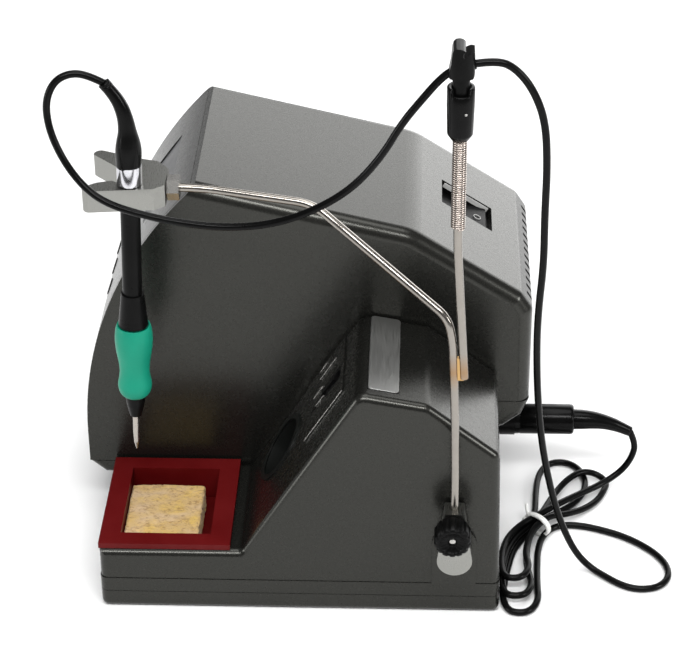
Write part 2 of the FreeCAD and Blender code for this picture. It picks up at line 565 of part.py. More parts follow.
def stand_shell():
    """The stand's upper moulding: sponge ledge, front slope, brow and rear wall, on a proud band."""
    end = "(stand_length/2-band_proud)"
    profile = [("-" + end, "band_top"), ("-" + end, "ledge_height"), ("-slope_foot", "ledge_height"),
               ("peak_back", "peak_height"), ("brow_back", "brow_height"), ("shoulder_back", "shoulder_height"),
               (end, "shoulder_height-12"), (end, "band_top")]
    outer = pad("stand_outer", "YZ_Plane", profile, "stand_width-band_proud", STAND_LEFT)
    ledge, foot = val("ledge_height"), -val("slope_foot")

    def crest(edge):
        return is_along(edge, (1, 0, 0)) and middle(edge).z > val("shoulder_height") + 1

    def shoulder(edge):
        at = middle(edge)
        return is_along(edge, (1, 0, 0)) and val("shoulder_height") - 13 < at.z < val("shoulder_height") + 1

    def foot_edge(edge):
        at = middle(edge)
        return is_along(edge, (1, 0, 0)) and abs(at.y - foot) < 0.5 and abs(at.z - ledge) < 0.5

    round_edges(outer, crest, "8")
    round_edges(outer, shoulder, "6")
    round_edges(outer, foot_edge, "3")
    lean = box("lean_cut", ("30", "stand_length+20", "220"),
               (STAND_RIGHT + "-band_proud", "-stand_length/2-10", "band_top"), (0, 1, 0), -val("wall_lean"))
    rear_lean = box("rear_lean_cut", ("stand_width+20", "30", "220"), (STAND_LEFT + "-10", end, "band_top"),
                    (1, 0, 0), val("wall_lean"))
    leaned = cut("stand_leaned", outer, [lean, rear_lean])

    def side_edge(edge):
        at = middle(edge)
        return abs(at.x) > val("stand_width/2") - 5 and at.z > val("band_top") + 1 and not is_along(edge, (1, 0, 0))

    rounded = ball_edges(leaned, side_edge, val("stand_edge_radius"), "stand_rounded")
    band = pad("stand_band", "XY_Plane", [(STAND_LEFT, "-stand_length/2"), (STAND_RIGHT, "-stand_length/2"),
                                          (STAND_RIGHT, "stand_length/2"), (STAND_LEFT, "stand_length/2")],
               "band_top-" + SHELL_LOW, SHELL_LOW)
    round_edges(band, lambda edge: is_along(edge, (0, 0, 1)), "stand_edge_radius")
    boss = box("clamp_pad", ("wall+pad_proud", "2*pad_half", "pad_top-pad_half-band_top"),
               (STAND_RIGHT + "-wall", "rod_back+0.5-pad_half", "band_top"))
    arch = along_x("clamp_pad_arch", "pad_half", "wall+pad_proud", (STAND_RIGHT + "-wall", "rod_back+0.5",
                                                                    "pad_top-pad_half"))
    inner = [("-stand_length/2+wall", "0"), ("-stand_length/2+wall", "ledge_height-wall"),
             ("-slope_foot+2", "ledge_height-wall"), ("peak_back+2", "peak_height-2.2*wall"),
             ("brow_back-1", "brow_height-1.6*wall"), ("shoulder_back-3", "shoulder_height-1.6*wall"),
             ("stand_length/2-wall-3", "shoulder_height-14"), ("stand_length/2-wall-0.4", "0")]
    cavity = pad("stand_cavity", "YZ_Plane", inner, "stand_width-2.6*wall", STAND_LEFT + "+wall")
    ledge_hole = box("ledge_hole", ("pocket_x+2*tray_wall+2*fit_gap", "pocket_y+2*tray_wall+2*fit_gap", "20"),
                     (TRAY_X + "-pocket_x/2-tray_wall-fit_gap", TRAY_Y + "-pocket_y/2-tray_wall-fit_gap",
                      "ledge_height-10"))
    tip_bed = plate("tip_bed", ("tip_plate_x", "tip_plate_y", "6"), TIP_SPOT, SLOPE_TILT, "-1.2")
    tip_hole = box("tip_hole", ("insert_x+4*fit_gap", "insert_y+4*fit_gap", "16"), ("0", "0", "0"))
    lean_to(tip_hole, TIP_SPOT, SLOPE_TILT, (INSERT_X + "-2*fit_gap", INSERT_Y + "-2*fit_gap", "-12"))
    well_hole = bar("well_hole", "well_radius", "40", WELL_SPOT, SLOPE_TILT, ("0", "0", "-30"))
    brow_bed = plate("brow_bed", ("name_x", "name_y", "6"), BROW_SPOT, BROW_TILT, "-0.8")
    bolt_hole = along_x("shell_bolt_hole", "bolt_radius+run_gap", "10", (STAND_RIGHT + "-wall-4", "rod_back+0.5",
                                                                        "disc_height-1"))
    keep("stand_shell", cut("stand_shell_cut", fuse("stand_solid", [rounded, band, boss, arch]),
                            [cavity, ledge_hole, tip_bed, tip_hole, well_hole, brow_bed, bolt_hole]))


def stand_base():
    """The stand's bottom tray, which carries the steel weight and closes the shell."""
    slab = [("-stand_length/2", "base_height"), ("-stand_length/2", "0"), ("stand_length/2", "0"),
            ("stand_length/2", "base_height")]
    outer = pad("base_outer", "YZ_Plane", slab, "stand_width", STAND_LEFT)

    def bottom(edge):
        return abs(middle(edge).z) < 1e-3

    def upright(edge):
        return is_along(edge, (0, 0, 1))

    round_edges(outer, upright, "stand_edge_radius")
    round_edges(outer, bottom, "base_edge_radius-2")
    hollow = box("base_hollow", ("stand_width-2*wall-2", "stand_length-2*wall-2", "base_height"),
                 (STAND_LEFT + "+wall+1", "-stand_length/2+wall+1", "wall"))
    keep("stand_base", cut("stand_base_cut", outer, [hollow]))
    keep("ballast_plate", box("ballast", ("stand_width-20", "stand_length-40", "6"),
                              (STAND_LEFT + "+10", "-stand_length/2+20", "wall")))
    heads = [cylinder("base_screw", "3", "5", ("(%d)*(stand_width/2-9)" % x, "(%d)*(stand_length/2-9)" % y, "wall"))
             for x in (-1, 1) for y in (-1, 1)]
    screws.extend(heads)


TRAY_X = "(stand_width/2-3.2-tray_rim_x/2)"
TRAY_Y = "(-stand_length/2+tray_rim_y/2)"


def sponge_tray():
    """The red silicone tray with its rim on the ledge, and the sponge in it."""
    rim = box("tray_rim", ("tray_rim_x", "tray_rim_y", "rim_thick"),
              (TRAY_X + "-tray_rim_x/2", TRAY_Y + "-tray_rim_y/2", "ledge_height"))
    cup = box("tray_cup", ("pocket_x+2*tray_wall", "pocket_y+2*tray_wall", "tray_depth+1"),
              (TRAY_X + "-pocket_x/2-tray_wall", TRAY_Y + "-pocket_y/2-tray_wall", "ledge_height-tray_depth"))
    pocket = box("tray_pocket", ("pocket_x", "pocket_y", "40"),
                 (TRAY_X + "-pocket_x/2", TRAY_Y + "-pocket_y/2", "ledge_height-tray_depth+tray_wall"))
    keep("sponge_tray", cut("sponge_tray_cut", fuse("tray_solid", [rim, cup]), [pocket]))
    keep("sponge", box("sponge_block", ("sponge_x", "sponge_y", "sponge_thick"),
                       (TRAY_X + "+pocket_x/2-sponge_x-fit_gap", TRAY_Y + "-pocket_y/2+fit_gap",
                        "ledge_height-tray_depth+tray_wall")))


def slope_fittings():
    """Tip-changing plate, its insert, the cleaner well in the slope and the plate on the brow."""
    blank = plate("tip_plate", ("tip_plate_x-2*fit_gap", "tip_plate_y-2*fit_gap", "2"), TIP_SPOT, SLOPE_TILT, "-1.2")
    slots = []
    for x, y, length in TIP_SLOTS:
        slot = box("tip_slot", ("tip_slot_width", str(length), "8"), ("0", "0", "0"))
        slots.append(lean_to(slot, TIP_SPOT, SLOPE_TILT, (str(x), "%s-%s/2" % (y, length), "-4")))
    mouth = box("insert_mouth", ("insert_x+2*fit_gap", "insert_y+2*fit_gap", "8"), ("0", "0", "0"))
    lean_to(mouth, TIP_SPOT, SLOPE_TILT, (INSERT_X + "-fit_gap", INSERT_Y + "-fit_gap", "-4"))
    keep("tip_change_plate", cut("tip_plate_cut", blank, slots + [mouth]))
    block = box("insert_block", ("insert_x", "insert_y", "8"), ("0", "0", "0"))
    lean_to(block, TIP_SPOT, SLOPE_TILT, (INSERT_X, INSERT_Y, "-7.5"))
    half_hole = bar("insert_hole", "insert_hole_radius", "20", TIP_SPOT, SLOPE_TILT,
                    (INSERT_X + "+insert_x/2", INSERT_Y + "+insert_y-insert_hole_radius", "-5"))
    groove = box("insert_groove", ("insert_groove_width", "insert_y*0.65", "8"), ("0", "0", "0"))
    lean_to(groove, TIP_SPOT, SLOPE_TILT, (INSERT_X + "+(insert_x-insert_groove_width)/2", INSERT_Y + "-1", "-3"))
    keep("tip_change_insert", cut("insert_cut", block, [half_hole, groove]))
    outer = bar("well_outer", "well_radius-fit_gap", "26", WELL_SPOT, SLOPE_TILT, ("0", "0", "-26.5"))
    lip = bar("well_lip", "well_radius+1.5", "0.8", WELL_SPOT, SLOPE_TILT, ("0", "0", "0"))
    inner = bar("well_inner", "well_radius-2", "40", WELL_SPOT, SLOPE_TILT, ("0", "0", "-24"))
    keep("cleaner_well", cut("well_cut", fuse("well_solid", [outer, lip]), [inner]))
    keep("nameplate", plate("name_blank", ("name_x-2*fit_gap", "name_y-2*fit_gap", "1.4"), BROW_SPOT, BROW_TILT, "-0.8"))


# ---------------------------------------------------------------- clamp and arm
ROD_X = "(stand_width/2+rod_offset)"
CLAMP_X = "(stand_width/2+pad_proud)"
CLAMP_FRONT = "(stand_width/2+pad_proud+clamp_thick)"
DISC_Y = "(rod_back+0.5)"
SCREW_Y = "(rod_back-1)"


def rod_clamp():
    """The aluminium clamp on the stand's wall, its bolt, and the fluted knob that locks the rod."""
    disc = along_x("clamp_disc", "disc_radius", "clamp_thick", (CLAMP_X, DISC_Y, "disc_height"))
    neck = pad("clamp_neck", "YZ_Plane",
               [("rod_back-neck_half", "neck_height"), (DISC_Y + "-disc_radius*0.99", "disc_height+disc_radius*0.14"),
                (DISC_Y, "disc_height"), (DISC_Y + "+disc_radius*0.99", "disc_height+disc_radius*0.14"),
                ("rod_back+neck_half", "neck_height")], "clamp_thick", CLAMP_X)
    rod_hole = cylinder("rod_hole", "rod_radius+run_gap", "40", (ROD_X, "rod_back", "rod_bottom"))
    screw_hole = along_x("screw_hole", "screw_radius+run_gap", "20", (ROD_X, SCREW_Y, "knob_height"))
    bolt_hole = along_x("bolt_hole", "bolt_radius+run_gap", "8.2", (CLAMP_X + "-0.1", DISC_Y, "disc_height-1"))
    keep("rod_clamp", cut("rod_clamp_cut", fuse("clamp_solid", [disc, neck]), [rod_hole, screw_hole, bolt_hole]))
    inside = "(stand_width/2-1.6*wall)"
    head = along_x("bolt_head", "bolt_radius+2.2", "2.8", (inside + "-2.9", DISC_Y, "disc_height-1"))
    shank = along_x("bolt_shank", "bolt_radius", "1.6*wall+pad_proud+8", (inside + "-0.2", DISC_Y, "disc_height-1"))
    keep("clamp_bolt", fuse("clamp_bolt_body", [head, shank]))
    blank = along_x("knob_blank", "knob_radius", "knob_length", (CLAMP_FRONT + "+0.4", SCREW_Y, "knob_height"))
    flutes = []
    for i in range(int(val("flute_count"))):
        turn = "(%d*360/flute_count*1deg)" % i
        flutes.append(along_x("flute", "1.1", "knob_length+2",
                              (CLAMP_FRONT + "-0.6", SCREW_Y + "+(knob_radius+0.3)*cos%s" % turn,
                               "knob_height+(knob_radius+0.3)*sin%s" % turn)))
    bore = along_x("knob_bore", "screw_radius", "knob_length-3", (CLAMP_FRONT, SCREW_Y, "knob_height"))
    keep("clamp_knob", cut("clamp_knob_cut", blank, flutes + [bore]))
    keep("clamp_screw", along_x("knob_screw", "screw_radius", "clamp_thick-rod_offset+pad_proud-rod_radius+9.3",
                                (ROD_X + "+rod_radius+0.1", SCREW_Y, "knob_height")))


def arm_rods():
    """The bent rod that carries the holder, the straight one brazed to it, and what sits on that."""
    x, y = val(ROD_X), val("rod_back")
    top = val("arm_height")
    tube("arm_rod", [(x, y, val("rod_bottom") + 0.5), (x, y, 98), (x, y - 1, 140), (x, y - 3, 189),
                     (x - 1, y - 6, 203), (14, 9.5, top - 0.8), (0.5, -46, top), (-1, -58, top),
                     (-1, -val("block_back") - 7, top)], val("rod_radius"), limit=9)
    tube("cable_rod", [(x, y + 3.4, 166), (x, y - 1.5, val("spring_bottom") - 12), (x, y - 1.7, val("spring_bottom")),
                       (x, y - 1.7, val("cable_rod_top"))], val("rod_radius"))
    keep("braze_joint", box("braze", ("2.4", "5", "14"), (ROD_X + "-1.2", "rod_back-1.7", "165")))
    out, core = "spring_radius", "rod_radius+0.05"
    coil = turned("spring_coil", [(core, "spring_bottom"), (out, "spring_bottom"), (out, "spring_top"),
                                  (core, "spring_top")])
    keep("lead_spring", place(coil, ROD_X, "clip_back", "0"))
    sleeve = turned("sleeve_body", [("spring_radius+0.05", "sleeve_bottom"), ("sleeve_radius-2.6", "sleeve_bottom"),
                                    ("sleeve_radius-0.7", "sleeve_bottom+4"), ("sleeve_radius", "sleeve_top-8"),
                                    ("sleeve_radius", "sleeve_top"), ("clip_neck_radius+0.05", "sleeve_top"),
                                    ("clip_neck_radius+0.05", "sleeve_top-5"), ("1", "sleeve_top-5"),
                                    ("1", "spring_top+0.1"), ("spring_radius+0.05", "spring_top+0.1")])
    keep("spring_sleeve", place(sleeve, ROD_X, "clip_back", "0"))


def lead_clip():
    """The clip on top of the spring: two jaws round the lead, open at the top."""
    neck = cylinder("clip_neck", "clip_neck_radius", "12", (ROD_X, "clip_back", "sleeve_top-4.9"))
    head = cylinder("clip_head", "clip_head_radius", "clip_head_top-clip_head_bottom",
                    (ROD_X, "clip_back", "clip_head_bottom"))
    channel = along_y("clip_channel", "clip_channel_radius", "30", (ROD_X, "clip_back-15", "clip_channel_height"))
    slot = box("clip_slot", ("2.4", "30", "20"), (ROD_X + "-1.2", "clip_back-15", "clip_channel_height"))
    notch = pad("clip_notch", "XZ_Plane", [(ROD_X, "clip_channel_height+4.5"), (ROD_X + "+5", "clip_head_top+1"),
                                           (ROD_X + "-5", "clip_head_top+1")], "30", "-clip_back-15")
    flare = doc.addObject("Part::Cone", "clip_flare")
    flare.setExpression("Radius1", expr("clip_channel_radius"))
    flare.setExpression("Radius2", expr("clip_head_radius-0.9"))
    flare.setExpression("Height", expr("clip_head_radius+0.1"))
    place(flare, ROD_X, "clip_back", "clip_channel_height", (1, 0, 0), 90)
    keep("lead_clip", cut("lead_clip_cut", fuse("clip_solid", [neck, head]), [channel, slot, notch, flare]))


def iron_holder():
    """The aluminium fork: a wide V that narrows to a round seat for the iron's neck."""
    seat = ("iron_x", "-iron_back+0.1")
    reach = "(neck_radius+slot_gap)"
    fork = [("iron_x+9.7", "-iron_back-21.3"), ("iron_x+6.1", "-block_back-5.3"), ("iron_x+1.5", "-block_back+0.3"),
            ("iron_x-17.2", "-block_back+0.7"), ("iron_x-26", "-block_back-6.2"), ("iron_x-28.5", "-block_back-14.8"),
            ("iron_x-38", "-iron_back-19.3"), ("iron_x-33", "-iron_back-23.3"), ("iron_x-30.6", "-iron_back-21.1"),
            ("iron_x-18.4", "-iron_back-8.8"), ("iron_x-11", "-iron_back-1.3"),
            ("iron_x-0.751*" + reach, "-iron_back+0.1+0.66*" + reach),
            ("iron_x+0.751*" + reach, "-iron_back+0.1-0.66*" + reach),
            ("iron_x+0.751*" + reach + "-3.5", "-iron_back+0.1-0.66*" + reach + "-4"),
            ("iron_x-3.1", "-iron_back-9.8"), ("iron_x-0.5", "-iron_back-17.8"), ("iron_x+4.7", "-iron_back-24.7")]
    arcs = {6: ("4.2", -1), 16: ("4.2", -1)}
    block = pad("fork_block", "XY_Plane", fork, "block_thick", "arm_height-block_thick/2", arcs)
    low = "arm_height-block_thick/2-1"
    seat_hole = cylinder("seat_hole", reach, "block_thick+2", (seat[0], seat[1], low))
    rod_hole = along_y("arm_rod_hole", "rod_radius+run_gap", "12", ("-1", "-block_back-7.2", "arm_height"))
    keep("iron_holder", cut("iron_holder_cut", block, [seat_hole, rod_hole]))
    corners = [("nut_across/sqrt(3)*cos(%d*60*1deg)" % i, "nut_across/sqrt(3)*sin(%d*60*1deg)" % i) for i in range(6)]
    nut = pad("nut_blank", "XZ_Plane", corners, "nut_thick")
    place(nut, "-1", "-block_back+0.8+nut_thick", "arm_height")
    nut_hole = along_y("nut_hole", "rod_radius+run_gap", "nut_thick+4", ("-1", "-block_back-1", "arm_height"))
    keep("arm_nut", cut("arm_nut_cut", nut, [nut_hole]))


# ---------------------------------------------------------------- soldering iron
def on_iron(obj):
    """Hang a turned piece on the iron's axis; its heights are counted from the holder's middle."""
    obj.Placement = FreeCAD.Placement(Vec(val("iron_x"), -val("iron_back"), val("arm_height")),
                                      FreeCAD.Rotation(Vec(1, 0, 0), -val("iron_lean")))
    return obj


def soldering_iron():
    """Every turned piece of the iron, from its collar down to its tip."""
    stop = "(block_thick/2+0.5)"
    collar = [("lead_radius", "-18"), ("neck_radius", "-18"), ("neck_radius", stop), ("collar_radius", stop),
              ("collar_radius", stop + "+collar_height"), ("lead_radius", stop + "+collar_height")]
    keep("iron_collar", on_iron(turned("collar_turned", collar)))
    handle = [("neck_radius", "-6.9"), ("tube_radius", "-6.9"), ("tube_radius", "-61.6"), ("tube_radius+1", "-61.6"),
              ("8.3", "-81.6"), ("5.6", "-81.6"), ("5.6", "-128"), ("3.6", "-128"), ("3.6", "-60"),
              ("neck_radius+0.05", "-50")]
    keep("handle_tube", on_iron(turned("handle_turned", handle)))
    keep("iron_grip", on_iron(turned("grip_turned", [("5.65", "-82.1"), ("9.3", "-82.1"), ("grip_radius", "-91.9"),
                                                     ("8.5", "-110.6"), ("9.6", "-121.9"), ("6.8", "-128.1"),
                                                     ("5.65", "-128.1")])))
    keep("iron_nose", on_iron(turned("nose_turned", [("1.9", "-128.2"), ("6", "-128.2"), ("5", "-135.1"),
                                                     ("3.4", "-142.3"), ("1.9", "-142.3")])))
    keep("tip_cartridge", on_iron(turned("cartridge_turned", [("0", "-92"), ("1.85", "-92"), ("1.85", "-153.3"),
                                                              ("1.5", "-161"), ("0.4", "-165.9"), ("0", "-165.9")])))
    keep("cartridge_socket", on_iron(turned("socket_turned", [("0", "-64"), ("3.5", "-64"), ("3.5", "-100"),
                                                              ("1.9", "-100"), ("1.9", "-91.9"), ("0", "-91.9")])))


def tapered(name, path, radii):
    """A strain relief: a skin of cones through circles set square to its path."""
    points = [Vec(*p) for p in path]
    rings = []
    for i, (point, radius) in enumerate(zip(points, radii)):
        ahead = points[min(i + 1, len(points) - 1)] - points[max(i - 1, 0)]
        rings.append(Part.Wire(Part.makeCircle(radius, point, ahead)))
    feature = doc.addObject("Part::Feature", name)
    feature.Shape = Part.makeLoft(rings, True, True)
    return keep(name, feature)


def iron_lead():
    """The lead from the iron's boot over to the clip; its first stretch moves with the iron."""
    x, y = val("iron_x"), -val("iron_back")
    tapered("iron_boot", [(x, y + 0.5, 269.6), (x, y + 0.8, 278), (x, y + 0.9, 286.8), (x, y + 0.2, 295.6),
                          (x, y - 1.4, 303.2), (x, y - 4.6, 310.1), (x, y - 9.7, 316.9)],
            (7, 6.2, 4.7, 4.3, 3.9, 3.4, 2.8))
    tube("handle_lead_a", LEAD_START, val("lead_radius"))
    tube("handle_lead_b", LEAD_TO_CLIP, val("lead_radius"))


def station_lead():
    """The lead from the clip to the floor loop and hank, and on to the plug behind the unit."""
    radius = val("lead_radius")
    tube("station_lead", LEAD_TO_HANK, radius)
    hank = pad("hank_body", "XY_Plane", [(str(u), str(v)) for u, v in HANK_OUTLINE], "hank_high-0.3", "0.3")
    keep("cord_hank", hank)
    keep("hank_tie", box("tie", ("9", "6", "1.4"), ("-34", "138", "hank_high")))
    tube("plug_lead", LEAD_TO_PLUG, radius)
    flange = "(recess_wall+3)"
    at = ("plug_x", flange + "+0.2", "plug_height")
    keep("plug_body", along_y("plug_barrel", "plug_radius", "54.8", at))
    outer = along_y("ring_outer", "plug_ring_radius", "9", ("plug_x", "recess_wall+13", "plug_height"))
    inner = along_y("ring_inner", "plug_radius", "11", ("plug_x", "recess_wall+12", "plug_height"))
    keep("plug_ring", cut("plug_ring_cut", outer, [inner]))
    px, py, pz = val("plug_x"), val(flange) + 55, val("plug_height")
    tapered("plug_boot", [(px, py, pz), (px, py + 10, pz), (px, py + 20, pz - 1.8), (px, py + 28, pz - 4.8),
                          (px, py + 35, pz - 8.5)], (5.8, 4.8, 3.9, 3.3, 2.9))


for build in (stand_shell, stand_base, sponge_tray, slope_fittings, main_shell, front_panel, controls, lower_shell,
              power_rocker, rear_fittings, unit_inside, rod_clamp, arm_rods, lead_clip, iron_holder,
              soldering_iron, iron_lead, station_lead):
    build()
doc.recompute()

faults = ["%s: %s" % (obj.Label, obj.State) for obj in doc.Objects
          if "Invalid" in obj.State or "Error" in obj.State]
for label, obj in nodes.items():
    if obj.Shape.isNull() or not obj.Shape.isValid() or not obj.Shape.Solids:
        faults.append("%s: no valid solid" % label)
if faults:
    raise SystemExit("These did not build: " + "; ".join(faults))

os.makedirs("parts", exist_ok=True)
for label, obj in nodes.items():
    obj.Shape.exportStep(os.path.join("parts", label + ".step"))
print("%d sub-parts written" % len(nodes))
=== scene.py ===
"""Soldering iron station: looks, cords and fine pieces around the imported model."""
import math

import bmesh
import bpy
from mathutils import Matrix, Vector, noise


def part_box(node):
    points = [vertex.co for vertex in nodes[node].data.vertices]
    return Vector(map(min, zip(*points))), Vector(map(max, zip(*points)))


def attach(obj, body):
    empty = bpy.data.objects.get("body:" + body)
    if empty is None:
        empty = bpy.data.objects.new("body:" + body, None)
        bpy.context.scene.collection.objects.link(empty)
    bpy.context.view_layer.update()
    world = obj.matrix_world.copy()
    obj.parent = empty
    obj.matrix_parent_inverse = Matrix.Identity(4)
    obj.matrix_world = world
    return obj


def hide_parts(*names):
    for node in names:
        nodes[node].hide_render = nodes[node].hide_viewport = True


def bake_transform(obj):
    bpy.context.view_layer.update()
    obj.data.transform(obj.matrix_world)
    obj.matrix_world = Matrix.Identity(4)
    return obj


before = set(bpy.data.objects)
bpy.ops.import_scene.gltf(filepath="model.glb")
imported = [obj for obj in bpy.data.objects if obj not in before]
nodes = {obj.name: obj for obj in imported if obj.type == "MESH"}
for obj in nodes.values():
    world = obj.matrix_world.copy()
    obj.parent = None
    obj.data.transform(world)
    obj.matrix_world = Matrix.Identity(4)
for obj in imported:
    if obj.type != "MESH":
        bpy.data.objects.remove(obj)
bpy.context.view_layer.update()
MM = 0.001


# ---------------------------------------------------------------- helpers
def mm(*p):
    """A point given in millimetres, in metres."""
    return Vector(p) * MM


def new_object(name, mesh, body, mat):
    """A piece on a body and its material."""
    obj = bpy.data.objects.new(name, mesh)
    bpy.context.scene.collection.objects.link(obj)
    if mat is not None:
        mesh.materials.append(mat)
    if hasattr(mesh, "polygons"):
        mesh.polygons.foreach_set("use_smooth", [True] * len(mesh.polygons))
    if body is not None:
        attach(obj, body)
    return obj


def to_mesh(name, bm):
    """A bmesh, cleaned, as a mesh."""
    bmesh.ops.remove_doubles(bm, verts=bm.verts, dist=1e-6)
    bmesh.ops.recalc_face_normals(bm, faces=bm.faces)
    mesh = bpy.data.meshes.new(name)
    bm.to_mesh(mesh)
    bm.free()
    return mesh


def bevel(obj, width, segments=3, angle=35):
    """Rounded edges with even shading."""
    mod = obj.modifiers.new("bevel", "BEVEL")
    mod.width = width * MM
    mod.segments = segments
    mod.limit_method = "ANGLE"
    mod.angle_limit = math.radians(angle)
    mod.harden_normals = True
    return obj


def skin(rings):
    """A closed bmesh through rings of equal count."""
    bm = bmesh.new()
    rows = [[bm.verts.new(p) for p in ring] for ring in rings]
    count = len(rows[0])
    for a, b in zip(rows, rows[1:]):
        for i in range(count):
            j = (i + 1) % count
            bm.faces.new((a[i], a[j], b[j], b[i]))
    bm.faces.new(list(reversed(rows[0])))
    bm.faces.new(rows[-1])
    return bm


def lathe(name, profile, place, body, mat, count=64, shape=None):
    """A turned piece from (radius, height) pairs in millimetres, set in place by a matrix."""
    rings = []
    for r, h in profile:
        ring = []
        for i in range(count):
            a = 2 * math.pi * i / count
            f = shape(a, h) if shape else 1.0
            ring.append(place @ (Vector((r * math.cos(a) * f, r * math.sin(a) * f, h)) * MM))
        rings.append(ring)
    return new_object(name, to_mesh(name, skin(rings)), body, mat)


def along(origin, axis):
    """The matrix that takes local Z to an axis at an origin, both given in millimetres."""
    z = Vector(axis).normalized()
    quat = z.to_track_quat("Z", "Y")
    return Matrix.Translation(Vector(origin) * MM) @ quat.to_matrix().to_4x4()


# ---------------------------------------------------------------- materials
class Shader:
    """A node material whose parts are added one call at a time."""

    def __init__(self, name, base, rough=0.5, metallic=0.0, **sockets):
        self.mat = bpy.data.materials.new(name)
        self.mat.use_nodes = True
        self.tree = self.mat.node_tree
        self.bsdf = self.tree.nodes["Principled BSDF"]
        self.bsdf.inputs["Base Color"].default_value = (*base, 1.0)
        self.bsdf.inputs["Roughness"].default_value = rough
        self.bsdf.inputs["Metallic"].default_value = metallic
        for socket, value in sockets.items():
            self.bsdf.inputs[socket.replace("_", " ")].default_value = value
        self.base = base
        self.coords = self.tree.nodes.new("ShaderNodeTexCoord").outputs["Object"]
        self.normal = None

    def node(self, kind, **inputs):
        made = self.tree.nodes.new(kind)
        for key, value in inputs.items():
            socket = made.inputs[key.replace("_", " ")]
            if isinstance(value, bpy.types.NodeSocket):
                self.tree.links.new(value, socket)
            else:
                socket.default_value = value
        return made

    def noise(self, scale, detail=3.0, roughness=0.5, stretch=None):
        vector = self.coords
        if stretch:
            mapping = self.node("ShaderNodeMapping", Vector=self.coords)
            mapping.inputs["Scale"].default_value = stretch
            vector = mapping.outputs[0]
        return self.node("ShaderNodeTexNoise", Vector=vector, Scale=scale, Detail=detail,
                         Roughness=roughness).outputs["Fac"]

    def spread(self, fac, low, high, start=0.3, end=0.7):
        """A number between low and high where a pattern runs from start to end."""
        made = self.node("ShaderNodeMapRange", Value=fac)
        for key, value in (("From Min", start), ("From Max", end), ("To Min", low), ("To Max", high)):
            made.inputs[key].default_value = value
        return made.outputs[0]

    def tint(self, fac, other, amount=1.0, start=0.3, end=0.7):
        """Mixes another colour into what the base colour is so far, where a pattern is high."""
        strength = self.spread(fac, 0.0, amount, start, end)
        mix = self.tree.nodes.new("ShaderNodeMix")
        mix.data_type = "RGBA"
        self.tree.links.new(strength, mix.inputs[0])
        socket = self.bsdf.inputs["Base Color"]
        if socket.is_linked:
            self.tree.links.new(socket.links[0].from_socket, mix.inputs[6])
        else:
            mix.inputs[6].default_value = socket.default_value
        mix.inputs[7].default_value = (*other, 1.0)
        self.tree.links.new(mix.outputs[2], socket)
        return self

    def band(self, height, half):
        """1 at a height in metres, falling to 0 a half-width above and below."""
        z = self.node("ShaderNodeSeparateXYZ", Vector=self.coords).outputs[2]
        far = self.tree.nodes.new("ShaderNodeMath")
        far.operation = "SUBTRACT"
        self.tree.links.new(z, far.inputs[0])
        far.inputs[1].default_value = height
        size = self.tree.nodes.new("ShaderNodeMath")
        size.operation = "ABSOLUTE"
        self.tree.links.new(far.outputs[0], size.inputs[0])
        return self.spread(size.outputs[0], 1.0, 0.0, 0.0, half)

    def rough(self, fac, low, high, start=0.3, end=0.7):
        self.tree.links.new(self.spread(fac, low, high, start, end), self.bsdf.inputs["Roughness"])
        return self

    def bump(self, height, distance, strength=1.0):
        """Adds a relief of a depth in millimetres over the reliefs so far."""
        made = self.node("ShaderNodeBump", Height=height, Strength=strength, Distance=distance * MM)
        if self.normal is not None:
            self.tree.links.new(self.normal, made.inputs["Normal"])
        self.normal = made.outputs[0]
        self.tree.links.new(self.normal, self.bsdf.inputs["Normal"])
        return self


def painted_shell(name, base):
    """Satin metallic charcoal: fine flake, orange peel and faint handling marks."""
    s = Shader(name, base, 0.27, 0.8, Coat_Weight=0.08, Coat_Roughness=0.15)
    s.tint(s.noise(5200, 2.0, 0.7), tuple(c * 1.7 + 0.004 for c in base), 0.5, 0.5, 0.72)
    s.tint(s.noise(9, 2.0), tuple(c * 0.92 for c in base), 0.4)
    s.rough(s.noise(300, 3.0, 0.6), 0.25, 0.29)
    s.bump(s.noise(1800, 2.0, 0.6), 0.006, 0.4)
    return s.mat


def plastic(name, base, rough=0.42, grain=0.02, gloss=0.5):
    """Moulded plastic or rubber: a fine texture, patchy gloss and a little dust in it."""
    s = Shader(name, base, rough, 0.0, Specular_IOR_Level=gloss)
    s.tint(s.noise(35, 4.0, 0.6), tuple(min(1, c * 1.35 + 0.004) for c in base), 0.6)
    s.rough(s.noise(120, 4.0, 0.6), rough * 0.88, min(1, rough * 1.14))
    s.bump(s.noise(2600, 2.0, 0.6), grain, 0.6)
    return s.mat


def metal(name, base, rough, stretch, depth=0.002, spread=0.15):
    """Worked metal: drawn, turned or brushed lines along one direction."""
    s = Shader(name, base, rough, 1.0)
    lines = s.noise(3600, 2.0, 0.5, stretch)
    s.tint(lines, tuple(c * 0.88 for c in base), 0.5)
    s.rough(lines, rough * (1 - spread), rough * (1 + spread))
    s.bump(lines, depth, 0.5)
    return s


def tinted_steel():
    """Drawn steel rod, browned by the torch where the two rods are brazed together."""
    s = metal("rod_steel", (0.29, 0.27, 0.245), 0.2, (1, 1, 0.04))
    s.tint(s.band(0.1705, 0.012), (0.3, 0.17, 0.07), 0.85, 0.0, 1.0)
    s.tint(s.noise(160, 4.0, 0.6), (0.22, 0.2, 0.18), 0.3)
    return s.mat


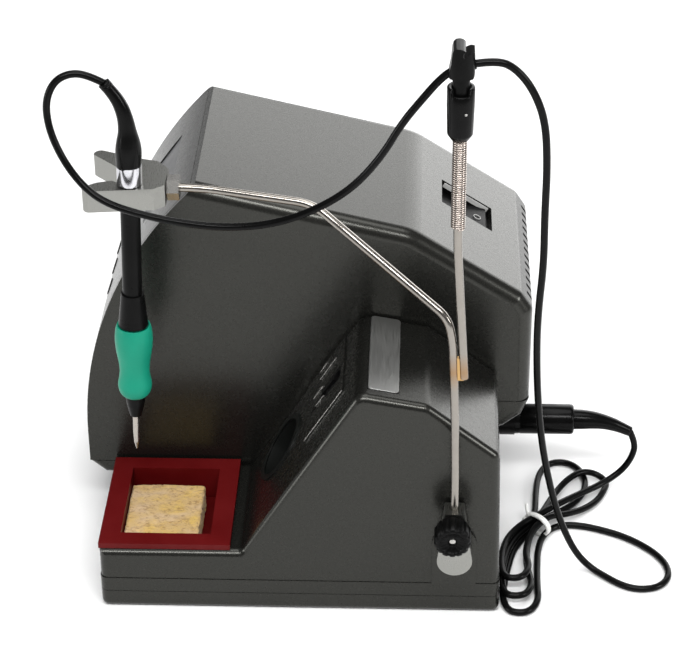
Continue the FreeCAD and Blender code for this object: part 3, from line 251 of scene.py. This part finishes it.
def sponge_cellulose():
    """Dry cellulose: straw colour, with pinkish and yellow patches, and painted shade in its pores."""
    s = Shader("cellulose", (0.52, 0.35, 0.145), 0.92, 0.0, Sheen_Weight=0.15)
    s.tint(s.noise(75, 3.0, 0.6), (0.6, 0.4, 0.1), 0.8, 0.45, 0.62)
    s.tint(s.noise(90, 2.0, 0.5, (1, 0.45, 1)), (0.55, 0.4, 0.26), 0.7, 0.5, 0.66)
    # dark brown specks: painted shade for the dark inside the pores
    s.tint(s.noise(620, 3.0, 0.65, (1, 0.5, 1)), (0.25, 0.14, 0.045), 0.75, 0.53, 0.68)
    s.bump(s.noise(1100, 4.0, 0.7, (1, 0.55, 1)), 0.5, 0.8)
    return s.mat


def laminate():
    """Green circuit board with its tracks."""
    s = Shader("board", (0.015, 0.12, 0.04), 0.35, 0.0, Coat_Weight=0.3)
    s.tint(s.noise(260, 1.0, 0.3, (1, 0.2, 1)), (0.05, 0.24, 0.09), 0.8, 0.5, 0.54)
    s.bump(s.noise(260, 1.0, 0.3, (1, 0.2, 1)), 0.03, 0.5)
    return s.mat


def window_glass():
    """Smoked display window."""
    s = Shader("smoked_window", (0.02, 0.021, 0.024), 0.3, 0.0, Specular_IOR_Level=0.25)
    s.rough(s.noise(40, 4.0, 0.6), 0.26, 0.36)
    return s.mat


CHARCOAL = (0.031, 0.031, 0.0275)
MATS = {
    "unit": painted_shell("charcoal_unit", CHARCOAL),
    "stand": painted_shell("charcoal_stand", tuple(c * 0.96 for c in CHARCOAL)),
    "panel": painted_shell("charcoal_panel", tuple(c * 0.9 for c in CHARCOAL)),
    "black": plastic("black_plastic", (0.0018, 0.0018, 0.0018), 0.3, 0.02, 0.08),
    "matt_black": plastic("matt_black", (0.006, 0.006, 0.006), 0.5, 0.05, 0.15),
    "rubber": plastic("lead_rubber", (0.0016, 0.0016, 0.0016), 0.22, 0.01, 0.09),
    "well": plastic("dark_well", (0.004, 0.0045, 0.004), 0.4, 0.03, 0.15),
    "red": plastic("red_silicone", (0.085, 0.002, 0.0025), 0.4, 0.03, 0.12),
    "teal": plastic("teal_grip", (0.005, 0.21, 0.132), 0.42, 0.02, 0.15),
    "white": plastic("tie_vinyl", (0.72, 0.72, 0.7), 0.4, 0.02),
    # pale paint for the switch's ring symbol, also used for the painted highlight strip in the switch recess
    "symbol_and_highlight": plastic("symbol_and_highlight_paint", (0.35, 0.35, 0.34), 0.5, 0.01),
    "window": window_glass(),
    "board": laminate(),
    "component": plastic("component_case", (0.03, 0.03, 0.035), 0.4, 0.02),
    "sponge": sponge_cellulose(),
    "rod": tinted_steel(),
    "steel": metal("steel", (0.42, 0.41, 0.39), 0.24, (1, 1, 1)).mat,
    "spring": metal("spring_wire", (0.42, 0.37, 0.335), 0.18, (1, 1, 1), 0.001).mat,
    "tip": metal("tip_plating", (0.4, 0.365, 0.33), 0.28, (1, 1, 0.1)).mat,
    "aluminium": metal("milled_aluminium", (0.27, 0.27, 0.253), 0.3, (0.05, 1, 1)).mat,
    "brushed": metal("brushed_plate", (0.36, 0.36, 0.35), 0.42, (0.02, 1, 1), 0.003, 0.2).mat,
    "chrome": metal("chrome", (0.6, 0.6, 0.63), 0.16, (1, 1, 0.1), 0.001).mat,
    "braze": metal("braze_alloy", (0.52, 0.33, 0.14), 0.4, (1, 1, 1), 0.08).mat,
    "copper": metal("winding", (0.62, 0.24, 0.09), 0.3, (1, 0.05, 1), 0.05).mat,
}
FINISH = {
    "unit": ["main_shell", "lower_shell"],
    "stand": ["stand_shell", "stand_base"],
    "panel": ["front_panel", "tip_change_plate"],
    "black": ["button_down", "button_set", "button_up", "handle_tube", "iron_nose", "lead_clip",
              "rocker_housing", "power_rocker", "tip_change_insert", "lead_socket", "plug_ring"],
    "matt_black": ["mains_inlet", "rubber_feet", "cartridge_socket"],
    "well": ["cleaner_well"],
    "red": ["sponge_tray"],
    "window": ["display_window"],
    "board": ["main_board", "panel_boards"],
    "component": ["board_components", "display_module"],
    "rod": ["arm_rod", "cable_rod"],
    "steel": ["arm_nut", "ballast_plate", "board_standoffs", "case_screws", "clamp_bolt", "clamp_screw",
              "inlet_pins", "transformer_core"],
    "tip": ["tip_cartridge"],
    "aluminium": ["iron_holder", "rod_clamp", "heat_sink"],
    "brushed": ["nameplate"],
    "chrome": ["iron_collar"],
    "braze": ["braze_joint", "earth_jack"],
    "copper": ["transformer_coil"],
    "rubber": ["plug_boot", "iron_boot", "cord_hank", "plug_lead", "station_lead", "handle_lead_a",
               "handle_lead_b", "clamp_knob", "spring_sleeve", "plug_body"],
    "teal": ["iron_grip"],
    "white": ["hank_tie"],
    "sponge": ["sponge"],
    "spring": ["lead_spring"],
}


def finish_nodes():
    """Every CAD node gets its material, and the machined and moulded ones a small edge."""
    for key, names in FINISH.items():
        for name in names:
            for slot in nodes[name].material_slots:
                slot.material = MATS[key]
    for name, width in (("sponge_tray", 0.9), ("iron_holder", 0.35), ("rod_clamp", 0.3), ("arm_nut", 0.35),
                         ("plug_ring", 0.5), ("lead_socket", 0.5)):
        bevel(nodes[name], width)


# ---------------------------------------------------------------- cords
LEAD_R = 2.0
LEAD_TO_CLIP = [(7, -98.4, 316.9), (7, -106.5, 321.4), (8, -115.3, 323), (9.7, -123.6, 319.5),
                (11, -128.6, 309.9), (11.9, -129, 298.5), (14.1, -126, 286.5), (17, -119.5, 273.3),
                (21, -110.2, 262.4), (26, -98.8, 256.3), (31, -83.1, 253.3), (36, -61.6, 250.9),
                (40, -35.1, 249.9), (44, -8.5, 254.9), (47, 15.1, 266.3), (49, 33.3, 280.5),
                (50, 47.6, 299.2), (51, 57.1, 317.6), (51.5, 68.4, 332.9), (51.5, 75, 341.3),
                (51.5, 81, 346.8), (51.5, 87, 349.2), (51.5, 93.6, 350)]
LEAD_TO_HANK = [(51.5, 91.4, 350.6), (51.2, 104, 352.8), (51, 113.5, 348), (50.5, 122.5, 336), (49, 129, 318),
                (47, 131, 292), (44, 131, 262), (39, 132, 230), (33, 130.6, 198), (27, 131, 168),
                (20, 133.6, 128), (14, 138, 92), (8.5, 146, 53), (4, 154.5, 26), (2, 162, 10), (5, 170, 3),
                (12, 178, 2.2), (20, 187, 2.2), (24, 197, 2.2), (22, 208, 2.2), (14, 215, 2.2), (3, 216, 2.2),
                (-9, 211, 2.2), (-20, 201, 2.2), (-28, 190, 2.2), (-33.5, 178, 2.2), (-37, 167, 2.2),
                (-33, 155, 2.2)]
LEAD_TO_PLUG = [(-80, 197, 42.5), (-80, 201, 34), (-80, 199.6, 24), (-79, 194.5, 15), (-76, 186.5, 9.5),
                (-70, 177.5, 7.6)]
HANK_TURNS = [(-37.5, 157, 2.3), (-34, 148.5, 2.3), (-25, 142.5, 2.3), (-12, 139.5, 2.3), (4, 138.5, 2.3),
              (20, 138, 2.3), (37, 138.2, 2.3), (47.5, 131.5, 2.3), (46.5, 120.5, 2.3), (34, 117.3, 2.3),
              (20, 118.8, 2.3), (4, 121.5, 2.3), (-12, 125, 2.3), (-24, 131.5, 2.3), (-36, 137, 2.3),
              (-52, 139.5, 2.3),
              (-72, 140.5, 2.3), (-90, 143, 2.3), (-101, 149, 2.3), (-104, 158, 2.3), (-99, 167, 2.3),
              (-88, 171.5, 2.3), (-76, 171.5, 2.6), (-64, 167.5, 3), (-52, 159, 4), (-41, 148, 6.4),
              (-30, 139, 6.6), (-16, 133.5, 6.4), (2, 132, 5), (13, 133, 4.6), (25, 134.8, 5.4),
              (36.5, 130.5, 6.5),
              (37.5, 119.5, 6.6), (26, 116.7, 6.5), (11, 117.8, 6.5), (-4, 120.5, 6.5), (-18, 126, 6.5),
              (-28, 133, 6.5), (-40, 142.5, 8), (-54, 147.5, 6.5), (-68, 153, 5), (-80, 161, 6.5),
              (-87.5, 170, 6.8),
              (-89, 179, 4), (-82, 185.5, 2.6), (-72, 182.5, 2.6), (-62, 178, 2.8), (-52, 170, 4),
              (-43.5, 159, 6),
              (-36, 147.5, 10.2), (-26, 138.5, 10.4), (-12, 133.5, 9.6), (1, 131.5, 8.8), (14, 133.5, 9.8),
              (25, 129, 10.2), (25.5, 118.5, 10.3), (13.5, 116.7, 10.3), (-1, 118, 10.4), (-14, 121.5, 10.2),
              (-25, 128.5, 10.3), (-33, 137, 10.6), (-43, 147, 10), (-54, 158.5, 9), (-63, 169, 8.2)]


def route(points, steps=10):
    """The smooth line of a route: a NURBS spline with its points as control points, read as a plain path."""
    curve = bpy.data.curves.new("route", "CURVE")
    curve.dimensions = "3D"
    curve.resolution_u = steps
    spline = curve.splines.new("NURBS")
    spline.points.add(len(points) - 1)
    for point, place in zip(spline.points, points):
        point.co = (*(Vector(place) * MM), 1.0)
    spline.order_u = 3
    spline.use_endpoint_u = True
    holder = bpy.data.objects.new("route", curve)
    mesh = bpy.data.meshes.new_from_object(holder)
    path = [v.co.copy() for v in mesh.vertices]
    bpy.data.objects.remove(holder)
    bpy.data.curves.remove(curve)
    bpy.data.meshes.remove(mesh)
    return [p for i, p in enumerate(path) if i == 0 or (p - path[i - 1]).length > 1e-7]


def tube_along(name, path, radius, body, mat, count=20, radii=None):
    """A round tube along a path, its rings carried forward without twisting."""
    rings = []
    ahead = (path[1] - path[0]).normalized()
    side = ahead.orthogonal().normalized()
    for i, centre in enumerate(path):
        here = (path[min(i + 1, len(path) - 1)] - path[max(i - 1, 0)]).normalized()
        side = (side - here * side.dot(here)).normalized()
        over = here.cross(side)
        size = (radii[i] if radii else radius) * MM
        rings.append([centre + (side * math.cos(t) + over * math.sin(t)) * size
                      for t in (2 * math.pi * k / count for k in range(count))])
    return new_object(name, to_mesh(name, skin(rings)), body, mat)


def leads():
    """The lead in two lengths that meet inside the clip: from the boot, and on to the plug."""
    rubber = MATS["rubber"]
    path = route(LEAD_TO_CLIP)
    first = tube_along("iron_lead", path, LEAD_R, None, rubber)
    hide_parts("handle_lead_a", "handle_lead_b")
    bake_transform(first)
    path = route(LEAD_TO_HANK[:-1] + HANK_TURNS + LEAD_TO_PLUG[::-1])
    second = tube_along("station_lead_run", path, LEAD_R, None, rubber)
    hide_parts("station_lead", "cord_hank", "plug_lead")
    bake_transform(second)
    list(plug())


# ---------------------------------------------------------------- fine pieces
IRON_SEAT = (7, -88.7, 251.6)
IRON_LEAN = -1.9
ARM_AXIS = (51.5, 86.3)
TIP_SLOPE = math.atan2(107, 67)
ROCKER_SLOPE = -math.atan2(41, 63)
OFF_TILT = math.radians(8)


def on_iron():
    """The iron's axis, its heights counted from the holder's middle."""
    return Matrix.Translation(mm(*IRON_SEAT)) @ Matrix.Rotation(math.radians(IRON_LEAN), 4, "X")


def smooth(profile, steps=8):
    """More points along a profile, on a Catmull-Rom curve through the given ones."""
    padded = [profile[0]] + list(profile) + [profile[-1]]
    result = []
    for a, b, c, d in zip(padded, padded[1:], padded[2:], padded[3:]):
        for k in range(steps):
            t = k / steps
            result.append(tuple(0.5 * (2 * q + (r - p) * t + (2 * p - 5 * q + 4 * r - w) * t * t
                                       + (3 * q - p - 3 * r + w) * t ** 3) for p, q, r, w in zip(a, b, c, d)))
    return result + [profile[-1]]


def spread_sizes(sizes, steps, count):
    """A few radii as one smooth taper, read at an even count of places."""
    taper = smooth([(size, 0) for size in sizes], steps)
    return [taper[round(i / (count - 1) * (len(taper) - 1))][0] for i in range(count)]


def grip():
    """The soft sleeve: full shoulders, a waist for the fingers and a rolled lower lip."""
    curve = smooth([(9.35, -82.3), (10.2, -85.5), (10.6, -91.5), (10.1, -98.5), (9.0, -105.5), (8.5, -110.8),
                    (8.75, -115.5), (9.45, -119.8), (9.5, -122.6), (8.7, -125.8), (7.2, -127.9)])
    profile = [(5.7, -82.6), (8.6, -82.6), (8.7, -82.2)] + curve + [(6.6, -128.0), (5.7, -127.9)]

    def lobes(angle, height):
        depth = 0.018 * math.exp(-((height + 110) / 12) ** 2)
        return 1 - depth * (1 + math.cos(3 * angle)) / 2
    sleeve = lathe("grip_sleeve", profile, on_iron(), "iron", MATS["teal"], 96, lobes)
    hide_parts("iron_grip")


def boot():
    """The strain relief over the iron's collar, bent over with the lead."""
    x, y = IRON_SEAT[0], IRON_SEAT[1]
    line = [(x, y + 0.35, 268.6), (x, y + 0.6, 273), (x, y + 0.8, 278), (x, y + 0.9, 283), (x, y + 0.85, 289),
            (x, y + 0.3, 296), (x, y - 1.4, 303.2), (x, y - 4.8, 310.4), (x, y - 9.9, 317)]
    sizes = [6.75, 7.0, 6.9, 6.2, 5.0, 4.35, 4.0, 3.6, 3.2]
    path = route(line, 8)
    radii = spread_sizes(sizes, 12, len(path))
    body = tube_along("boot_sleeve", path, 0, "iron", MATS["rubber"], 40, radii)
    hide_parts("iron_boot")
    for i, centre in enumerate(path[-3:-1]):
        tube_along("boot_lip_%d" % i, [centre, path[path.index(centre) + 1]], 3.35, "iron",
                   MATS["rubber"], 40)


def spring():
    """The close-wound spring that lets the clip sway."""
    wire, middle_radius, low, high = 0.6, 3.2, 258.2, 311
    turns = (high - low) / 1.25
    steps = int(turns * 28)
    path = []
    for i in range(steps + 1):
        a = 2 * math.pi * turns * i / steps
        path.append(mm(ARM_AXIS[0] + middle_radius * math.cos(a), ARM_AXIS[1] + middle_radius * math.sin(a),
                       low + (high - low) * i / steps))
    coil = tube_along("spring_coil", path, wire, "arm", MATS["spring"], 8)
    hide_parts("lead_spring")


def sleeve():
    """The sleeve over the spring's end: chamfered below, cut down on one side above, with its pin."""
    axis = Matrix.Translation(mm(*ARM_AXIS, 0))
    profile = [(3.95, 309.6), (4.6, 309.6), (6.4, 312.3), (6.6, 313), (7.05, 330), (7.05, 338), (6.75, 338.5),
               (5.2, 338.5), (4.7, 338.1), (4.7, 333.6), (3.95, 333.4)]
    tube = lathe("clip_sleeve", profile, axis, "arm", MATS["rubber"], 96)
    for v in tube.data.vertices:
        angle = math.atan2(v.co.y / MM - ARM_AXIS[1], v.co.x / MM - ARM_AXIS[0])
        if v.co.z > 337.5 * MM and abs(angle) < 0.75:
            v.co.z -= 3.3 * MM
    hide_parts("spring_sleeve")
    pin = [(0, 0), (0.75, 0), (0.75, 0.5), (0.5, 0.75), (0, 0.8)]
    lathe("sleeve_pin", pin, along((57.95, 88.8, 326), (0.93, 0.36, 0)), "arm", MATS["steel"], 24)


def knob():
    """The clamp's fluted knob with its sunk face and the screw's end in it."""
    lobes = 14
    profile = [(2.1, 0), (8.8, 0), (9.9, 0.5), (10.35, 1.4), (10.4, 6), (10.4, 9.6), (10.1, 11.0),
               (9.2, 12.1),
               (8.2, 12.5), (7.5, 12.45), (7.1, 12.0), (6.9, 11.3), (3.0, 11.1), (2.6, 10.8),
               (2.5, 9.5), (2.1, 9.4)]

    def flutes(angle, height):
        if height < 0.3 or height > 12.2:
            return 1.0
        return 1 - 0.075 * max(0.0, math.cos(lobes * angle)) ** 1.5
    place = along((57.75, 87, 68.5), (1, 0, 0))
    turned = lathe("knob_body", profile, place, "knob", MATS["black"], 224, flutes)
    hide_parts("clamp_knob")
    end = [(0, 9.0), (1.95, 9.0), (1.95, 10.2), (1.6, 10.5), (0, 10.5)]
    lathe("knob_screw_end", end, place, "knob", MATS["steel"], 32)


def plug():
    """The lead's connector: a turned sleeve with a grip step, and its boot's collar."""
    x, z = -80, 51
    low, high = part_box("plug_body")
    length = (high[1] - low[1]) / MM
    place = along((x, low[1] / MM, z), (0, 1, 0))
    profile = [(0, 0), (8.2, 0), (9.0, 0.4), (9.2, 1.2), (9.2, 21), (9.05, 21.3), (9.05, 22.1), (9.2, 22.4),
               (9.2, length - 2.2), (9.0, length - 1.0), (8.4, length - 0.2), (7.6, length), (6.6, length),
               (6.4, length - 0.8), (5.0, length - 0.8), (0, length - 0.8)]
    barrel = lathe("plug_barrel", profile, place, "station", MATS["rubber"], 96)
    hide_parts("plug_body")
    line = [(x, high[1] / MM - 1, z), (x, high[1] / MM + 6, z), (x, high[1] / MM + 13, z - 0.5),
            (x, high[1] / MM + 20, z - 1.9), (x, high[1] / MM + 27.5, z - 4.6),
            (x, high[1] / MM + 35, z - 8.5)]
    path = route(line, 8)
    radii = spread_sizes([6.2, 5.8, 5.2, 4.5, 3.9, 3.1], 20, len(path))
    relief = tube_along("plug_relief", path, 0, "station", MATS["rubber"], 40, radii)
    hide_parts("plug_boot")
    return barrel, relief


def clip_head():
    """The clip: a hooked jaw and a lower one over the lead's channel, round in plan, on a round neck."""
    outline = [(-4.4, 335), (-4.4, 343.4), (-6.3, 344.6), (-6.5, 346.5), (-5.3, 352), (-4.7, 358.5),
               (-4.1, 360.4),
               (-2.9, 361.3), (-1, 361.4), (0.8, 360.9), (1.9, 360), (0.8, 359.3), (0.4, 358.2), (0.6, 357),
               (1.3, 356.4), (2.6, 357.4), (4.4, 358.6), (6.3, 359.3), (6.6, 356), (6.7, 351), (6.6, 346),
               (6.2, 344.6), (4.4, 343.4), (4.4, 335)]
    bm = bmesh.new()
    bm.faces.new([bm.verts.new((0, y * MM, z * MM)) for y, z in outline])
    for k in range(-13, 14):
        bmesh.ops.bisect_plane(bm, geom=bm.verts[:] + bm.edges[:] + bm.faces[:], dist=1e-7,
                               plane_co=(0, k * 0.5 * MM, 0), plane_no=(0, 1, 0))
    for z in (343.45, 344.3):
        bmesh.ops.bisect_plane(bm, geom=bm.verts[:] + bm.edges[:] + bm.faces[:], dist=1e-7,
                               plane_co=(0, 0, z * MM), plane_no=(0, 0, 1))
    front = bmesh.ops.extrude_face_region(bm, geom=bm.faces[:])["geom"]
    front = {v for v in front if isinstance(v, bmesh.types.BMVert)}
    for v in bm.verts:
        radius = 4.5 if v.co.z < 343.9 * MM else 6.9
        depth = math.sqrt(max(0.2, radius ** 2 - (v.co.y / MM * 0.97) ** 2)) * MM
        v.co = Vector((ARM_AXIS[0] * MM + (depth if v in front else -depth), v.co.y + ARM_AXIS[1] * MM, v.co.z))
    head = bevel(new_object("clip_head", to_mesh("clip_head", bm), "arm", MATS["black"]), 0.4)
    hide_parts("lead_clip")


def rounded_plate(name, place, size, radius, levels, mat):
    """A thin plate with round corners on a slanted face, between two levels."""
    points = []
    for cx, cy, start in ((1, 1, 0), (-1, 1, 90), (-1, -1, 180), (1, -1, 270)):
        for k in range(9):
            a = math.radians(start + k * 90 / 8)
            points.append((cx * (size[0] / 2 - radius) + radius * math.cos(a),
                           cy * (size[1] / 2 - radius) + radius * math.sin(a)))
    rings = [[place @ mm(x, y, z) for x, y in points] for z in levels]
    return bevel(new_object(name, to_mesh(name, skin(rings)), "station", mat), 0.35)


def brow_plate():
    """The plain brushed plate on the brow, its corners rounded."""
    place = on_slope(math.atan2(-7, 38.5), -5, 47.75, 144.5)
    plate = rounded_plate("brow_plate", place, (76.4, 17.4), 2.6, (-0.8, 0.6), MATS["brushed"])
    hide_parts("nameplate")


def twist_tie():
    """The white tie: two turns round the middle of the hank, its ends twisted out."""
    centre = Vector((-31, 139.5, 6.9))
    side = Vector((0.62, 0.78, 0)).normalized()
    ahead = Vector((0.78, -0.62, 0)).normalized()
    points = [(-44, 133.5, 12.5), (-41, 133.5, 11.5)]
    steps = 64
    for i in range(steps + 1):
        a = math.pi * 0.85 - 2 * math.pi * 2.0 * i / steps
        at = centre + side * (math.cos(a) * 8.7) + Vector((0, 0, 1)) * (math.sin(a) * 5.9 + 0.2) + ahead * (
            -1.6 + 3.2 * i / steps)
        points.append(tuple(at))
    points += [(-36.5, 131.5, 3.2), (-34, 128, 2.0), (-31.5, 125.6, 1.6)]
    path = route(points, 3)
    tie = tube_along("tie_ribbon", path, 1.05, "station", MATS["white"], 12)
    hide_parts("hank_tie")


def cleaning_sponge():
    """A block of dry cellulose, its faces torn into rows of pores."""
    low, high = (Vector(c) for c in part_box("sponge"))
    middle, half = (low + high) / 2, (high - low) / 2
    cuts = 74
    bm = bmesh.new()
    bmesh.ops.create_cube(bm, size=2)
    bmesh.ops.subdivide_edges(bm, edges=bm.edges, cuts=cuts, use_grid_fill=True)
    edge = 0.0016
    for v in bm.verts:
        p = Vector(c * h for c, h in zip(v.co, half))
        core = Vector(max(-h + edge, min(h - edge, c)) for c, h in zip(p, half))
        out = p - core
        p = core + out.normalized() * edge if out.length > 0 else p
        away = (p - core).normalized() if out.length > 0 else Vector((0, 0, 1))
        at = Vector((p.x * 330, p.y * 150, p.z * 330))
        rows = noise.noise(at) * 0.5 + noise.noise(at * 2.3) * 0.35
        pores = min(0.0, noise.noise(Vector((p.x * 820, p.y * 430, p.z * 820))) + 0.12)
        v.co = middle + p + away * (0.0008 * (rows - 0.45) + 0.0016 * pores)
    block = new_object("sponge_block", to_mesh("sponge_block", bm), "station", MATS["sponge"])
    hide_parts("sponge")


def on_slope(tilt, x, y, z):
    """A frame on a slanted face: local X stays X, local Y runs along the slope, local Z out of it."""
    return Matrix.Translation(mm(x, y, z)) @ Matrix.Rotation(tilt, 4, "X")


def strip(name, place, size, at, body, mat, edge=0.15):
    """A small bar with rounded edges on a slanted face."""
    bm = bmesh.new()
    bmesh.ops.create_cube(bm, size=1)
    for v in bm.verts:
        local = [c * width + offset for c, width, offset in zip(v.co, size, at)]
        v.co = place @ (Vector(local) * MM)
    return bevel(new_object(name, to_mesh(name, bm), body, mat), edge)


def slope_trim():
    """Bright lips beside the tip-changing plate's slots, and along two of its edges."""
    place = on_slope(TIP_SLOPE, -13, 13.9, 114.9)
    for i, (x, y, length) in enumerate(((-25.2, -2.3, 8), (-16.6, 3.1, 18), (-4.6, -7, 10.5), (7.2, -4.5, 9))):
        strip("slot_lip_%d" % i, place, (0.7, length, 0.7), (x, y, 0.95), "station", MATS["steel"])
    strip("plate_edge_side", place, (0.5, 41, 0.5), (28, 0, 0.7), "station", MATS["steel"])
    strip("plate_edge_top", place, (56, 0.4, 0.5), (0, 20.6, 0.7), "station", MATS["steel"])


def rocker_symbol_and_painted_highlight():
    """The power switch's ring symbol, and a pale strip on its recess's top wall as a painted highlight."""
    face = on_slope(ROCKER_SLOPE, -118, 94.5, 178.5)
    # pale strip along the recess's top wall: a painted highlight where that wall catches the light
    strip("recess_painted_highlight", face, (0.5, 31.6, 2.9), (-11.9, 0, -1.5), "station", MATS["symbol_and_highlight"])
    turn = on_slope(ROCKER_SLOPE + OFF_TILT, -118, 94.5, 178.5)
    path = [turn @ mm(2 + 2.2 * math.cos(a), 8.5 + 2.2 * math.sin(a), -3.45)
            for a in (2 * math.pi * k / 40 for k in range(41))]
    tube_along("off_mark", path, 0.25, "rocker", MATS["symbol_and_highlight"], 8)


def detail():
    grip()
    boot()
    spring()
    sleeve()
    knob()
    clip_head()
    brow_plate()
    twist_tie()
    cleaning_sponge()
    slope_trim()
    rocker_symbol_and_painted_highlight()


# ---------------------------------------------------------------- stage
def camera():
    """A long lens from the stand's outer side, looking down at about 32 degrees."""
    yaw, pitch, roll = math.radians(-2.12), math.radians(31.86), math.radians(-0.38)
    ahead = Vector((-math.cos(yaw) * math.cos(pitch), math.sin(yaw) * math.cos(pitch), -math.sin(pitch)))
    level = Vector((math.sin(yaw), math.cos(yaw), 0))
    above = level.cross(ahead)
    right = math.cos(roll) * level + math.sin(roll) * above
    up = -math.sin(roll) * level + math.cos(roll) * above
    data = bpy.data.cameras.new("camera")
    data.lens = 2229.8 / 700 * 36
    data.sensor_width = 36
    data.clip_start, data.clip_end = 0.05, 20
    obj = bpy.data.objects.new("camera", data)
    turn = Matrix((right, up, -ahead)).transposed().to_4x4()
    obj.matrix_world = Matrix.Translation(mm(1053.25, 67.49, 820.86)) @ turn
    bpy.context.scene.collection.objects.link(obj)
    bpy.context.scene.camera = obj


def area(name, place, target, size, power, shape=1.0):
    """A rectangular light aimed at a point; shape is its height over its width."""
    data = bpy.data.lights.new(name, "AREA")
    data.shape = "RECTANGLE"
    data.size, data.size_y = size, size * shape
    data.energy = power
    obj = bpy.data.objects.new(name, data)
    obj.location = Vector(place)
    obj.rotation_euler = (Vector(target) - Vector(place)).to_track_quat("-Z", "Y").to_euler()
    bpy.context.scene.collection.objects.link(obj)


def studio():
    """A pale floor under soft light from above, behind, beside and in front."""
    scene = bpy.context.scene
    scene.view_settings.view_transform = "Standard"
    world = bpy.data.worlds.new("studio")
    scene.world = world
    world.use_nodes = True
    sky = world.node_tree.nodes["Background"]
    sky.inputs["Color"].default_value = (1, 1, 1, 1)
    sky.inputs["Strength"].default_value = 0.22
    mesh = bpy.data.meshes.new("floor")
    mesh.from_pydata([(-3, -3, 0), (3, -3, 0), (3, 3, 0), (-3, 3, 0)], [], [(0, 1, 2, 3)])
    floor = bpy.data.objects.new("floor", mesh)
    scene.collection.objects.link(floor)
    paper = Shader("pale_paper", (0.93, 0.93, 0.93), 0.9)
    mesh.materials.append(paper.mat)
    area("overhead", (-0.2, 0.1, 1.9), (-0.1, 0.0, 0.1), 1.2, 17)
    area("behind_low", (-1.9, 1.1, 0.35), (-0.1, 0.0, 0.15), 1.9, 13, shape=0.32)
    area("behind", (-1.9, 0.7, 1.05), (-0.1, 0.0, 0.15), 1.9, 17, shape=0.5)
    area("near_strip", (0.95, 0.0, 1.45), (0, 0, 0.1), 1.5, 26, shape=0.16)
    area("right_box", (0.6, 1.7, 0.8), (0, 0, 0.1), 0.6, 15)
    area("front_box", (0.4, -1.7, 0.4), (0, 0, 0.1), 0.6, 9)


finish_nodes()
detail()
leads()
camera()
studio()
